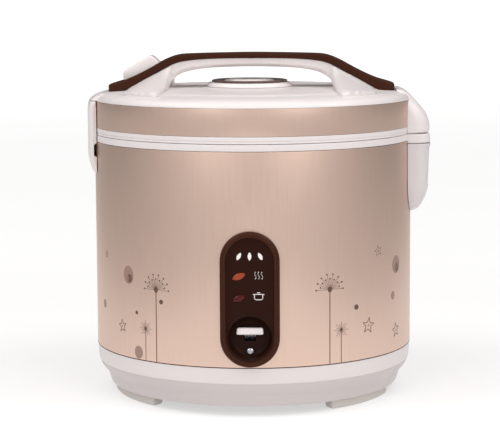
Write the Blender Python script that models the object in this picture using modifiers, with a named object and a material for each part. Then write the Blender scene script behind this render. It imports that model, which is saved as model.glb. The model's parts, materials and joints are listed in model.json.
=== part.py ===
"""A jar rice cooker with a hinged lid, a loose inner pot and a press-down cooking lever.

World units are metres, +Z up, the floor at z = 0 and the control panel facing -Y.
Sizes and places below are millimetres, measured from the cooker's upright axis,
which stands at x = AXIS_X so that the whole object is centred on the origin.
"""
import math

import bmesh
import bpy
from mathutils import Matrix, Vector

MM = 0.001
AXIS_X = -4.7
ROUND = 40
MID_ROUND = 24
FINE_ROUND = 16
GAP = 0.3

# Heights of the stack, floor to handle
FOOT_TOP = 9.7
SKIRT_BOTTOM = 7.6
BASE_TOP = 40.0
SHELL_TOP = 207.0
SEAM_LOW = 212.6
SEAM_HIGH = 213.0
BAND_LOW = 218.7
BAND_TOP = 239.7
LID_EDGE = 240.0
LID_CROWN = 250.0
VENT_TOP = 255.6
VENT_X = -2.4

# Radii of the round parts
BODY_R = 130.0
SHELL_WALL = 1.0
DRUM_R = 115.4
DRUM_WALL = 0.8
POT_R = 111.8
POT_WALL = 1.6
POT_FLOOR = 62.6
POT_CORNER = 28.0
POT_RIM_TOP = 211.4
PLATE_TOP = 62.2
SENSOR_TOP = 62.3

# Lid hinge, on the right
HINGE_X = 140.8
HINGE_Z = 216.3
HINGE_NOSE = 3.2
LUG_R = 2.5
LUG_Y = (17.0, 21.0)
PIN_R = 1.1
BULGE_HALF = 35.0
BULGE_CORNER = 12.0
BULGE_ROOT = 117.0

# Latch, on the left
CLIP_PIVOT_X = -132.9
CLIP_PIVOT_Z = 236.0
CLIP_SPAN = 15.8
CLIP_R = 135.7
CLIP_TOP = 240.0
CLIP_PIN_R = 0.9

# Handle, a saddle over the lid
HANDLE_X = -0.7
HANDLE_END = 116.3
GRIP_HALF = 17.0
FLARE_START = 62.0
FLARE_HALF = 23.0
LEG_INNER = 67.5
LEG_ROUND = 74.0
LEG_OUTER = 97.0
LEG_BASE_R = 119.0
HANDLE_SCREW_X = 80.0
BUTTON_AT = 89.5
BUTTON_HALF = 11.0
BUTTON_FOOT = (-15.9, 16.4)

# Control panel, at the front
PANEL_X = 0.0
PANEL_LOW = 41.0
PANEL_HIGH = 146.4
PANEL_HALF = 23.0
PANEL_FRONT = -134.2
PANEL_FACE = -132.7
BOWL_Z = 64.0
BOWL_R = 17.8
BOWL_BACK = -123.4
LEVER_Y = -45.0
LEVER_Z = 25.5
LENS_X = -8.3
WARM_Z = 112.1
COOK_Z = 95.1
LENS_TILT = 22.0
PANEL_SCREW_Z = 52.3

# Mechanism under the drum
PLUNGER_R = 6.0
PLUNGER_LOW = 27.4

# Colour, roughness and metallic value of each kind of surface
WHITE = ((0.86, 0.83, 0.82), 0.32, 0.0)
WARM_WHITE = ((0.80, 0.77, 0.75), 0.4, 0.0)
CHAMPAGNE = ((0.60, 0.47, 0.40), 0.34, 0.75)
BROWN = ((0.085, 0.045, 0.03), 0.3, 0.0)
DARK_BROWN = ((0.05, 0.028, 0.022), 0.35, 0.0)
BRIGHT_METAL = ((0.78, 0.78, 0.79), 0.25, 1.0)
CAST_METAL = ((0.55, 0.55, 0.56), 0.5, 1.0)
STEEL = ((0.6, 0.6, 0.62), 0.3, 1.0)
BRASS = ((0.75, 0.6, 0.3), 0.35, 1.0)
GREY_RUBBER = ((0.55, 0.54, 0.53), 0.75, 0.0)
ORANGE_LENS = ((0.85, 0.28, 0.08), 0.15, 0.0)
RED_LENS = ((0.4, 0.01, 0.02), 0.15, 0.0)
LAMP_GLASS = ((0.85, 0.75, 0.65), 0.1, 0.0)
BLACK_PLASTIC = ((0.03, 0.03, 0.03), 0.5, 0.0)
TRANSLUCENT = ((0.84, 0.80, 0.80), 0.2, 0.0)


def clear_scene():
    for ob in list(bpy.data.objects):
        bpy.data.objects.remove(ob, do_unlink=True)


def new_collection(name):
    group = bpy.data.collections.new(name)
    bpy.context.scene.collection.children.link(group)
    return group


clear_scene()
PARTS = new_collection("rice_cooker")
CUTTERS = new_collection("cutters")


# ---------------------------------------------------------------- building helpers

def give_look(ob, look):
    colour, roughness, metallic = look
    material = bpy.data.materials.new(ob.name)
    material.use_nodes = True
    shader = material.node_tree.nodes["Principled BSDF"]
    shader.inputs["Base Color"].default_value = (*colour, 1.0)
    shader.inputs["Roughness"].default_value = roughness
    shader.inputs["Metallic"].default_value = metallic
    ob.data.materials.append(material)


def add_object(name, mesh, look, at=(0, 0, 0), turn=(0, 0, 0)):
    """Links a mesh as a part, or as a cutter when it has no look."""
    ob = bpy.data.objects.new(name, mesh)
    group = PARTS if look else CUTTERS
    group.objects.link(ob)
    ob.location = ((at[0] + AXIS_X) * MM, at[1] * MM, at[2] * MM)
    ob.rotation_euler = [math.radians(angle) for angle in turn]
    mesh.shade_smooth()
    mesh.set_sharp_from_angle(angle=math.radians(30))
    if look:
        give_look(ob, look)
    else:
        ob.hide_render = True
        ob.display_type = "WIRE"
    return ob


def pivot(name, x, y, z):
    """An empty on a joint's axis, which the pieces that move on that joint hang from."""
    empty = bpy.data.objects.new(name, None)
    PARTS.objects.link(empty)
    empty.location = ((x + AXIS_X) * MM, y * MM, z * MM)
    return empty


def hang(pieces, empty):
    for ob in pieces:
        ob.parent = empty
        ob.location = ob.location - empty.location


def signed_area(points):
    pairs = zip(points, points[1:] + points[:1])
    return sum(a[0] * b[1] - b[0] * a[1] for a, b in pairs) / 2


def turned(name, profile, look, at=(0, 0, 0), turn=(0, 0, 0), steps=ROUND):
    """Spins a closed profile of (radius, height) points about the part's own Z axis."""
    if signed_area(profile) > 0:
        profile = profile[::-1]
    on_axis = [i for i, point in enumerate(profile) if point[0] == 0]
    if on_axis:
        while not (profile[0][0] == 0 and profile[-1][0] == 0):
            profile = profile[1:] + profile[:1]
    mesh = bpy.data.meshes.new(name)
    last = len(profile) if not on_axis else len(profile) - 1
    edges = [(i, (i + 1) % len(profile)) for i in range(last)]
    mesh.from_pydata([(r * MM, 0, z * MM) for r, z in profile], edges, [])
    ob = add_object(name, mesh, look, at, turn)
    spin = ob.modifiers.new("Turn", "SCREW")
    spin.axis = "Z"
    spin.angle = 2 * math.pi
    spin.steps = steps
    spin.render_steps = steps
    spin.use_smooth_shade = True
    spin.use_merge_vertices = True
    spin.merge_threshold = 0.00001
    return ob


def solid(name, bm, look, at=(0, 0, 0), turn=(0, 0, 0), bevel=0, segments=2):
    if bm.calc_volume(signed=True) < 0:
        bmesh.ops.reverse_faces(bm, faces=bm.faces)
    mesh = bpy.data.meshes.new(name)
    bm.to_mesh(mesh)
    bm.free()
    ob = add_object(name, mesh, look, at, turn)
    if bevel:
        round_edges(ob, bevel, segments)
    return ob


def round_edges(ob, width, segments=2, angle=40):
    edge = ob.modifiers.new("Round", "BEVEL")
    edge.width = width * MM
    edge.segments = segments
    edge.limit_method = "ANGLE"
    edge.angle_limit = math.radians(angle)


def box(name, low, high, look, bevel=0, at=(0, 0, 0), turn=(0, 0, 0)):
    size = [(b - a) * MM for a, b in zip(low, high)]
    middle = [(a + b) / 2 * MM for a, b in zip(low, high)]
    bm = bmesh.new()
    bmesh.ops.create_cube(bm, size=1, matrix=Matrix.Translation(middle) @ Matrix.Diagonal((*size, 1)))
    return solid(name, bm, look, at, turn, bevel)


def rod(name, start, end, radius, look, sides=16, bevel=0):
    """A straight round bar between two points."""
    a, b = Vector(start) * MM, Vector(end) * MM
    stand = Vector((0, 0, 1)).rotation_difference(b - a).to_matrix().to_4x4()
    bm = bmesh.new()
    bmesh.ops.create_cone(
        bm, cap_ends=True, segments=sides, radius1=radius * MM, radius2=radius * MM,
        depth=(b - a).length, matrix=Matrix.Translation((a + b) / 2) @ stand,
    )
    return solid(name, bm, look, bevel=bevel)


def slab(name, outline, low, high, look, along="Z", bevel=0, segments=2):
    """A flat outline drawn as a filled curve and thickened from low to high."""
    curve = bpy.data.curves.new(name, "CURVE")
    curve.dimensions = "2D"
    curve.fill_mode = "BOTH"
    curve.extrude = (high - low) / 2 * MM
    line = curve.splines.new("POLY")
    line.points.add(len(outline) - 1)
    for point, (u, v) in zip(line.points, outline):
        point.co = (u * MM, v * MM, 0, 1)
    line.use_cyclic_u = True
    drawn = bpy.data.objects.new(name + "_outline", curve)
    CUTTERS.objects.link(drawn)
    middle = (low + high) / 2
    if along == "Y":
        drawn.location = (0, middle * MM, 0)
        drawn.rotation_euler = (math.pi / 2, 0, 0)
    else:
        drawn.location = (0, 0, middle * MM)
    bpy.context.view_layer.update()
    mesh = bpy.data.meshes.new_from_object(drawn.evaluated_get(bpy.context.evaluated_depsgraph_get()))
    bm = bmesh.new()
    bm.from_mesh(mesh)
    bm.transform(drawn.matrix_world)
    bmesh.ops.remove_doubles(bm, verts=bm.verts, dist=0.00001)
    bpy.data.objects.remove(drawn, do_unlink=True)
    return solid(name, bm, look, bevel=bevel, segments=segments)


def loft(name, rings, look):
    """A closed solid through rings of points, one ring after the other, with flat ends."""
    bm = bmesh.new()
    layers = [[bm.verts.new(Vector(point) * MM) for point in ring] for ring in rings]
    count = len(layers[0])
    for first, second in zip(layers, layers[1:]):
        for i in range(count):
            j = (i + 1) % count
            bm.faces.new((first[i], first[j], second[j], second[i]))
    bm.faces.new(layers[0][::-1])
    bm.faces.new(layers[-1])
    bmesh.ops.recalc_face_normals(bm, faces=bm.faces)
    return solid(name, bm, look)


def coil(name, radii, wire, turns, low, high, look, at=(0, 0, 0), turn=(0, 0, 0)):
    """A wire spring, wound upwards round the local Z axis from the first radius to the last."""
    per_turn = 8
    curve = bpy.data.curves.new(name, "CURVE")
    curve.dimensions = "3D"
    curve.bevel_depth = wire * MM
    curve.bevel_resolution = 1
    curve.use_fill_caps = True
    line = curve.splines.new("POLY")
    count = int(turns * per_turn)
    line.points.add(count)
    for i, point in enumerate(line.points):
        angle = 2 * math.pi * i / per_turn
        height = low + (high - low) * i / count
        radius = radii[0] + (radii[1] - radii[0]) * i / count
        point.co = (radius * math.cos(angle) * MM, radius * math.sin(angle) * MM, height * MM, 1)
    drawn = bpy.data.objects.new(name + "_wire", curve)
    CUTTERS.objects.link(drawn)
    bpy.context.view_layer.update()
    mesh = bpy.data.meshes.new_from_object(drawn.evaluated_get(bpy.context.evaluated_depsgraph_get()))
    bm = bmesh.new()
    bm.from_mesh(mesh)
    bmesh.ops.remove_doubles(bm, verts=bm.verts, dist=0.00001)
    bpy.data.objects.remove(drawn, do_unlink=True)
    return solid(name, bm, look, at, turn)


def boolean(ob, tool, operation):
    change = ob.modifiers.new(operation.title() + " " + tool.name, "BOOLEAN")
    change.operation = operation
    change.solver = "EXACT"
    change.object = tool


def cut(ob, *tools):
    for tool in tools:
        boolean(ob, tool, "DIFFERENCE")


def join(ob, *tools):
    for tool in tools:
        boolean(ob, tool, "UNION")


def arc(cx, cy, radius, start, end, steps):
    angles = [math.radians(start + (end - start) * i / steps) for i in range(steps + 1)]
    return [(cx + radius * math.cos(a), cy + radius * math.sin(a)) for a in angles]


def stadium(cx, low, high, half, steps=10):
    """An upright outline with half-round ends."""
    top = arc(cx, high - half, half, 0, 180, steps)
    bottom = arc(cx, low + half, half, 180, 360, steps)
    return top + bottom


def between(table, x):
    """Reads a curve given as (x, value) points, straight between them."""
    for (x0, v0), (x1, v1) in zip(table, table[1:]):
        if x <= x1:
            return v0 + (v1 - v0) * (x - x0) / (x1 - x0)
    return table[-1][1]


def core(name, radius, low=0.0, high=260.0):
    """A full cylinder on the cooker's axis, used to shape pieces that hug the body."""
    return turned(name, [(0, low), (radius, low), (radius, high), (0, high)], None)


# ---------------------------------------------------------------- base and feet

def base_shell():
    outside = [
        (129.7, BASE_TOP), (128.7, 27.2), (127.8, 26.6), (127.3, 24.6), (125.2, 21.0),
        (121.8, 17.6), (119.9, 12.0), (118.6, SKIRT_BOTTOM),
    ]
    inside = [(116.2, SKIRT_BOTTOM), (117.4, 12.4), (119.4, 18.6), (124.6, 26.0), (126.2, BASE_TOP)]
    return turned("base_shell", outside + inside, WHITE)


def bottom_plate():
    plate = turned("bottom_plate", [(0, 10.0), (115.6, 10.0), (115.6, 12.4), (0, 12.4)], GREY_RUBBER)
    for i in range(6):
        angle = 60 * i
        slot = box(f"air_slot_{i}", (50, -2.5, 5), (85, 2.5, 20), None, turn=(0, 0, angle))
        cut(plate, slot)
    for x, y in screw_places():
        cut(plate, rod(f"plate_hole_{x:.0f}_{y:.0f}", (x, y, 5), (x, y, 20), 2.2, None, 12))
    return plate


def screw_places():
    circle = 98.0
    angles = [math.radians(a) for a in (90, 0, -90, 180)]
    return [(circle * math.cos(a), circle * math.sin(a)) for a in angles]


def base_screws():
    profile = [(0, 7.9), (3.6, 7.9), (3.6, 9.7), (1.8, 9.7), (1.8, 17.0), (0, 17.0)]
    for i, (x, y) in enumerate(screw_places()):
        turned(f"base_screw_{i + 1}", profile, STEEL, at=(x, y, 0), steps=12)


def foot(name, middle):
    """A block that follows the base circle, 38 degrees long, with square ends."""
    span, inner, outer = 38.0, 105.0, 115.2
    first, last = middle - span / 2, middle + span / 2
    outline = arc(0, 0, outer, first, last, 9) + arc(0, 0, inner, last, first, 9)
    return slab(name, outline, 0.0, FOOT_TOP, GREY_RUBBER, bevel=1.0, segments=1)


# ---------------------------------------------------------------- body

def outer_shell():
    inner = BODY_R - SHELL_WALL
    profile = [
        (BODY_R, SHELL_TOP), (BODY_R, BASE_TOP + GAP), (inner, BASE_TOP + GAP), (inner, SHELL_TOP),
    ]
    shell = turned("outer_shell", profile, CHAMPAGNE)
    opening = slab("panel_opening", stadium(PANEL_X, 43.5, 143.9, 20.8), -140, -100, None, "Y")
    inlet = box("inlet_opening", (-18.5, 120, 51.5), (18.5, 140, 82.5), None)
    cut(shell, opening, inlet)
    return shell


def bulge_outline(outer_x, half, corner=BULGE_CORNER):
    """Plan of the pieces on the right: square at the body, round at the outer corners."""
    radius = min(corner, outer_x - BULGE_ROOT - 0.5, half - 1)
    low = arc(outer_x - radius, -half + radius, radius, -90, 0, 4)
    high = arc(outer_x - radius, half - radius, radius, 0, 90, 4)
    return [(BULGE_ROOT, -half)] + low + high + [(BULGE_ROOT, half)]


def bulge_loft(name, stations, look):
    """A loft up the right side through (height, outer x, half width) stations."""
    rings = [[(x, y, z) for x, y in bulge_outline(outer, half)] for z, outer, half in stations]
    return loft(name, rings, look)


def top_rim():
    """The fixed ring the pot hangs in, with the hinge bulge and its two lugs."""
    profile = [
        (BODY_R, SEAM_LOW), (BODY_R, SHELL_TOP + GAP), (124.5, SHELL_TOP + GAP), (124.5, 203.0),
        (116.6, 203.0), (116.6, 208.9), (120.8, 208.9), (120.8, SEAM_LOW),
    ]
    rim = turned("top_rim", profile, WHITE)
    stations = [(205.2, 144.6, BULGE_HALF), (207.5, 144.6, BULGE_HALF), (SEAM_LOW, 144.0, BULGE_HALF)]
    bulge = bulge_loft("rim_bulge", stations, None)
    cut(bulge, core("bulge_core", BODY_R - 2.0 + GAP, 206.9, 230))
    cut(bulge, core("bulge_shell_core", BODY_R + GAP, 190, 207.2))
    join(rim, bulge)
    for side in (-1, 1):
        low, high = sorted((side * LUG_Y[0], side * LUG_Y[1]))
        outline = [(HINGE_X - LUG_R, 211.0), (HINGE_X + LUG_R, 211.0)]
        outline += arc(HINGE_X, HINGE_Z, LUG_R, 0, 180, 8)
        join(rim, slab(f"hinge_lug_{side}", outline, low, high, None, "Y"))
    cut(rim, rod("lug_bore", (HINGE_X, -30, HINGE_Z), (HINGE_X, 30, HINGE_Z), PIN_R + 0.05, None, 16))
    return rim


def hinge_pin():
    return rod("hinge_pin", (HINGE_X, -20.8, HINGE_Z), (HINGE_X, 20.8, HINGE_Z), PIN_R, STEEL, 16)


def inner_drum():
    inner = DRUM_R - DRUM_WALL
    outside = [(121.0, 202.6), (121.0, 201.8), (DRUM_R, 201.8), (DRUM_R, 54), (112.0, 48.4), (106.0, 46.0)]
    inside = [(30.0, 46.0), (30.0, 46.8), (105.8, 46.8), (111.4, 49.2), (inner, 54.3), (inner, 202.6)]
    return turned("inner_drum", outside + inside, BRIGHT_METAL, steps=MID_ROUND)


def keep_warm_band():
    profile = [(117.4, 152), (117.4, 118), (115.8, 118), (115.8, 152)]
    return turned("keep_warm_band", profile, GREY_RUBBER, steps=MID_ROUND)


def heating_plate():
    """Cast disc with the sheathed element's ring under it and the sensor's hole in it."""
    profile = [
        (18.0, PLATE_TOP), (88.0, PLATE_TOP), (90.0, 60.6), (90.0, 56.0), (74.0, 54.0),
        (70.0, 47.2), (60.0, 47.2), (56.0, 54.0), (18.0, 55.0),
    ]
    return turned("heating_plate", profile, CAST_METAL, steps=MID_ROUND)


def sensor_parts():
    """Sprung sensor in the middle of the plate, its housing and the spring."""
    cap = [
        (0, SENSOR_TOP), (15.2, SENSOR_TOP), (16.4, 61.2), (16.4, 53.0), (15.2, 53.0), (15.2, 60.4),
        (0, 60.4),
    ]
    sensor = turned("sensor_cap", cap, BRIGHT_METAL, steps=24)
    hang([sensor], pivot("sensor_slide", 0, 0, SENSOR_TOP))
    housing = [
        (26.0, 45.7), (26.0, 44.5), (14.0, 44.5), (14.0, 30.4), (3.6, 30.4), (3.6, 31.6),
        (12.8, 31.6), (12.8, 45.7),
    ]
    turned("thermostat_housing", housing, STEEL, steps=24)
    coil("sensor_spring", (10.5, 10.5), 0.7, 5, 32.8, 59.4, STEEL)


def plunger():
    """Magnet that the lever lifts towards the sensor."""
    top, shoulder = 46.0, 36.0
    profile = [
        (0, top), (PLUNGER_R, top), (PLUNGER_R, shoulder), (2.9, shoulder), (2.9, PLUNGER_LOW),
        (0, PLUNGER_LOW),
    ]
    magnet = turned("magnet_plunger", profile, STEEL, steps=FINE_ROUND)
    hang([magnet], pivot("plunger_slide", 0, 0, shoulder))


# ---------------------------------------------------------------- lever mechanism

def lever_bracket():
    """Two ears with the lever's bearings, standing on the bottom plate."""
    frame = box("lever_bracket", (-9.0, -51.0, 12.8), (9.0, -39.0, 15.0), STEEL)
    for side in (-1, 1):
        low, high = sorted((side * 8.0, side * 6.0))
        join(frame, box(f"bracket_ear_{side}", (low, -50.0, 14.0), (high, -40.0, 30.5), None))
    bearing = rod("bracket_bearing", (-20, LEVER_Y, LEVER_Z), (20, LEVER_Y, LEVER_Z), 2.2, None, 16)
    cut(frame, bearing)
    return frame


def cook_lever():
    """Paddle at the front, an arm down past the drum and a bar back to the plunger."""
    lever = box("cook_lever", (-10.5, -131.0, 66.4), (10.5, -126.6, 71.8), WHITE, bevel=1.1)
    join(lever, box("lever_neck", (-3.6, -128.0, 67.4), (3.6, -117.0, 70.6), None))
    join(lever, box("lever_arm", (-3.5, -118.2, 24.3), (3.5, -116.2, 70.5), None))
    join(lever, box("lever_bar", (-3.4, -117.6, 24.2), (3.4, 3.4, 26.8), None))
    trunnion = rod("lever_trunnion", (-8.0, LEVER_Y, LEVER_Z), (8.0, LEVER_Y, LEVER_Z), 2.0, None, 16)
    join(lever, trunnion)
    hang([lever], pivot("lever_hinge", 0, LEVER_Y, LEVER_Z))


def electrics():
    """Switch beside the lever, terminal block, fuse and the two indicator lamps."""
    switch = box("micro_switch", (5.2, -92.0, 18.0), (15.0, -70.0, 30.0), BLACK_PLASTIC, bevel=0.8)
    join(switch, box("switch_post", (8.0, -86.0, 12.8), (12.0, -76.0, 19.0), None))
    box("terminal_block", (-16.0, 62.0, 12.8), (16.0, 80.0, 26.0), WARM_WHITE, bevel=1.0)
    rod("thermal_fuse", (-14.0, 40.0, 40.0), (14.0, 40.0, 40.0), 3.2, BRASS, 12, bevel=0.6)
    for name, height in (("warm_lamp", WARM_Z), ("cook_lamp", COOK_Z)):
        rod(name, (LENS_X, -124.6, height), (LENS_X, -118.0, height), 2.6, LAMP_GLASS, 12, bevel=0.8)


# ---------------------------------------------------------------- control panel

def leaf_outline(cx, cz, length, width, tilt):
    """A pointed oval: two arcs that meet at the tips, turned by tilt degrees."""
    half, rise = length / 2, width / 2
    radius = (half * half + rise * rise) / (2 * rise)
    reach = math.degrees(math.asin(half / radius))
    upper = arc(0, rise - radius, radius, 90 - reach, 90 + reach, 6)
    lower = [(-u, -v) for u, v in upper]
    c, s = math.cos(math.radians(tilt)), math.sin(math.radians(tilt))
    return [(cx + u * c - v * s, cz + u * s + v * c) for u, v in upper[:-1] + lower[:-1]]


def control_panel():
    plug_low, plug_high, plug_half = PANEL_LOW + 2.9, PANEL_HIGH - 2.9, PANEL_HALF - 2.6
    rim = stadium(PANEL_X, PANEL_LOW, PANEL_HIGH, PANEL_HALF, 8)
    panel = slab("control_panel", rim, PANEL_FRONT, -125.5, BROWN, "Y", bevel=1.6, segments=1)
    cut(panel, core("panel_back_core", BODY_R + GAP, 0, 300))
    plug = stadium(PANEL_X, plug_low, plug_high, plug_half, 8)
    join(panel, slab("panel_plug", plug, -131.5, -126.0, None, "Y"))
    face = stadium(PANEL_X, PANEL_LOW + 4.0, PANEL_HIGH - 4.0, PANEL_HALF - 4.0, 8)
    cut(panel, slab("panel_face", face, -140, PANEL_FACE, None, "Y"))
    back = BOWL_BACK + 1.7
    join(panel, rod("bowl_housing", (PANEL_X, -130, BOWL_Z), (PANEL_X, back, BOWL_Z), BOWL_R + 1.8, None, 24))
    cut(panel, rod("bowl", (PANEL_X, -140, BOWL_Z), (PANEL_X, BOWL_BACK, BOWL_Z), BOWL_R, None, 24))
    cut(panel, box("lever_slot", (-4.4, -130, 60.0), (4.4, -115, 71.4), None))
    for name, height in (("warm", WARM_Z), ("cook", COOK_Z)):
        window = leaf_outline(LENS_X, height, 11.6, 5.5, LENS_TILT)
        cut(panel, slab(f"{name}_window", window, -140, -110, None, "Y"))
    hole = rod("panel_screw_hole", (0, -140, PANEL_SCREW_Z), (0, -110, PANEL_SCREW_Z), 1.7, None, 12)
    cut(panel, hole)


def panel_trim():
    for name, height, look in (("warm_lens", WARM_Z, ORANGE_LENS), ("cook_lens", COOK_Z, RED_LENS)):
        slab(name, leaf_outline(LENS_X, height, 10.6, 4.7, LENS_TILT), -133.3, -126.2, look, "Y", bevel=0.4)
    head = [(0, 2.2), (2.0, 2.2), (3.0, 1.2), (3.0, 0.0), (1.3, 0.0), (1.3, -2.4), (0, -2.4)]
    screw = turned(
        "panel_screw", head, STEEL, at=(0, BOWL_BACK - GAP, PANEL_SCREW_Z), turn=(90, 0, 0), steps=16,
    )
    for i, angle in enumerate((0, 90)):
        bar = (-0.4, -2.0, 1.2), (0.4, 2.0, 4.0)
        place = (0, BOWL_BACK - GAP, PANEL_SCREW_Z)
        cut(screw, box(f"cross_{i}", *bar, None, at=place, turn=(90, angle, 0)))


def power_inlet():
    """Recessed appliance inlet low at the back, with three pins."""
    inlet = box("power_inlet", (-18, 117.2, 52), (18, 131.0, 82), BLACK_PLASTIC, bevel=1.0)
    join(inlet, box("inlet_flange", (-21, 130.4, 49), (21, 133.6, 85), None, bevel=1.0))
    cut(inlet, box("inlet_socket", (-12, 120.0, 59), (12, 140, 75), None))
    for i, x in enumerate((-7.0, 0.0, 7.0)):
        height = 69.5 if i == 1 else 64.5
        rod(f"inlet_pin_{i + 1}", (x, 120.3, height), (x, 127.5, height), 1.6, BRASS, 12, bevel=0.5)


# ---------------------------------------------------------------- pot and dew collector

def inner_pot():
    """Deep round pot with a rolled flange that hangs on the rim's ledge."""
    inner = POT_R - POT_WALL
    cx, cz = POT_R - POT_CORNER, POT_FLOOR + POT_CORNER
    profile = [(0, POT_FLOOR)] + arc(cx, cz, POT_CORNER, -90, 0, 4)
    profile += [(POT_R, 207.6), (113.2, 209.2), (119.4, 209.2), (119.8, 210.3), (119.4, POT_RIM_TOP)]
    profile += [(112.0, POT_RIM_TOP), (inner, 209.0)]
    profile += arc(cx, cz, POT_CORNER - POT_WALL, 0, -90, 4) + [(0, POT_FLOOR + POT_WALL)]
    pot = turned("inner_pot", profile, BRIGHT_METAL)
    hang([pot], pivot("pot_turn", 0, 0, POT_FLOOR))


def dew_collector():
    outer = [
        (148.6, 133.6, 20.5), (151.2, 136.6, 24.5), (155.4, 138.9, 28.0), (161.0, 141.2, 31.0),
        (167.5, 143.0, 32.9), (175.0, 144.2, 33.8), (191.3, 144.6, 34.4), (204.8, 144.8, BULGE_HALF),
    ]
    cup = bulge_loft("dew_collector", outer, TRANSLUCENT)
    cut(cup, core("cup_core", BODY_R + 0.4, 100, 230))
    wall = 1.7
    inside = [(z, x - wall, half - wall) for z, x, half in outer[2:-1]] + [(215.0, 143.1, BULGE_HALF - wall)]
    hollow = bulge_loft("cup_hollow", inside, None)
    cut(hollow, core("hollow_core", BODY_R + 0.4 + wall, 100, 230))
    cut(cup, hollow)
    hang([cup], pivot("dew_slide", BODY_R, 0, 204.8))


# ---------------------------------------------------------------- lid

LID_TOP_CURVE = [(0, LID_CROWN), (60, 249.7), (90, 249.1), (108, 248.4), (116, 247.5), (122, 246.3)]
LID_SHOULDER = [(125.5, 245.1), (128.0, 243.6), (129.4, 241.9), (BODY_R, LID_EDGE)]


def lid_envelope(name, gap=GAP, low=200.0):
    """The lid's outside, grown by a gap, to shape what sits on it."""
    top = [(r, z + gap) for r, z in LID_TOP_CURVE]
    side = [(r + gap, z + gap) for r, z in LID_SHOULDER]
    return turned(name, top + side + [(BODY_R + gap, low), (0, low)], None)


def lid_top():
    wall = 2.4
    hole = 12.6
    outside = [(hole, LID_CROWN - 0.1)] + LID_TOP_CURVE[1:] + LID_SHOULDER
    inside = [(127.6, LID_EDGE), (125.2, 242.3), (121.0, 243.9), (108, 248.4 - wall), (60, 249.7 - wall)]
    top = turned("lid_top", outside + inside + [(hole, LID_CROWN - wall)], WHITE)
    for side in (-1, 1):
        x = HANDLE_X + side * HANDLE_SCREW_X
        cut(top, rod(f"lid_screw_hole_{side}", (x, 0, 235), (x, 0, 260), 2.2, None, 12))
    join(top, latch_hood())
    return top


def latch_hood():
    """Moulded shoulder that carries the lid's edge out over the top of the latch clip."""
    stations = [
        (CLIP_TOP + 0.6, 133.9), (242.2, 132.5), (243.3, 131.0), (244.4, 129.2), (245.4, 126.8),
        (246.2, 123.4),
    ]
    hood = wrap_loft("latch_hood", stations, None)
    cut(hood, lid_envelope("hood_envelope", -1.0))
    return hood


def lid_rings():
    band = [(BODY_R, BAND_TOP), (BODY_R, BAND_LOW), (BODY_R - 0.9, BAND_LOW), (BODY_R - 0.9, BAND_TOP)]
    ring = [(BODY_R, 218.4), (BODY_R, SEAM_HIGH), (121.4, SEAM_HIGH), (121.4, 218.4)]
    return [turned("lid_band", band, CHAMPAGNE), turned("lid_ring", ring, WHITE)]


def lid_inside():
    """Liner under the lid, the lift-out inner plate, its seal, grommet and steam tube."""
    liner = [
        (120.6, 219.0), (120.6, 216.2), (108.0, 216.2), (103.0, 221.0), (14.0, 221.0), (14.0, 223.0),
        (104.0, 223.0), (109.0, 219.0),
    ]
    seal = [
        (118.8, 215.8), (118.8, 211.8), (111.0, 211.8), (111.0, 213.0), (114.3, 213.0), (114.3, 214.8),
        (111.0, 214.8), (111.0, 215.8),
    ]
    plate = [
        (113.9, 214.5), (113.9, 213.3), (104.0, 213.3), (98.0, 208.0), (11.2, 208.0), (11.2, 209.2),
        (97.5, 209.2), (103.5, 214.5),
    ]
    tube = [(12.1, 251.0), (12.1, 217.0), (10.2, 217.0), (10.2, 251.0)]
    grommet = [
        (15.0, 207.7), (15.0, 205.5), (7.0, 205.5), (7.0, 216.7), (10.9, 216.7), (13.5, 211.5),
        (13.5, 209.5), (10.9, 209.5), (10.9, 207.7),
    ]
    inner_lid = turned("inner_lid", plate, BRIGHT_METAL, steps=MID_ROUND)
    for i in range(6):
        angle = math.radians(60 * i + 33)
        x, y = 60 * math.cos(angle), 60 * math.sin(angle)
        cut(inner_lid, rod(f"steam_hole_{i}", (x, y, 200), (x, y, 215), 2.5, None, 8))
    return [
        turned("lid_liner", liner, WARM_WHITE, steps=MID_ROUND),
        turned("lid_seal", seal, GREY_RUBBER, steps=MID_ROUND),
        inner_lid,
        turned("steam_tube", tube, WARM_WHITE, steps=FINE_ROUND),
        turned("inner_lid_grommet", grommet, GREY_RUBBER, steps=FINE_ROUND),
    ]


def vent():
    """Low boss in the middle of the lid, its dark ring and the cap that lifts off."""
    boss = [
        (31.4, 253.6), (33.8, 252.8), (35.4, 250.9), (35.4, 250.4), (15.2, 250.4), (15.2, 251.4),
        (22.4, 251.4), (22.4, 253.6),
    ]
    ring = [(29.6, VENT_TOP), (31.2, 255.0), (31.2, 253.9), (21.6, 253.9), (21.6, 254.8)]
    cap = [
        (0, 256.2), (16.4, 256.4), (18.4, 255.8), (21.0, 254.9), (21.0, 251.7), (19.6, 251.7), (19.6, 254.0),
        (0, 254.6),
    ]
    centre = (VENT_X, 0, 0)
    lift = turned("vent_cap", cap, BRIGHT_METAL, at=centre, steps=MID_ROUND)
    for i in range(6):
        spin = (0, 0, 60 * i + 30)
        cut(lift, box(f"vent_slot_{i}", (7.8, -0.9, 245), (14.2, 0.9, 260), None, at=centre, turn=spin))
    hang([lift], pivot("vent_slide", VENT_X, 0, VENT_TOP))
    return [
        turned("vent_boss", boss, WHITE, at=centre, steps=MID_ROUND),
        turned("vent_ring", ring, DARK_BROWN, at=centre, steps=MID_ROUND),
        lift,
    ]


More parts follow.
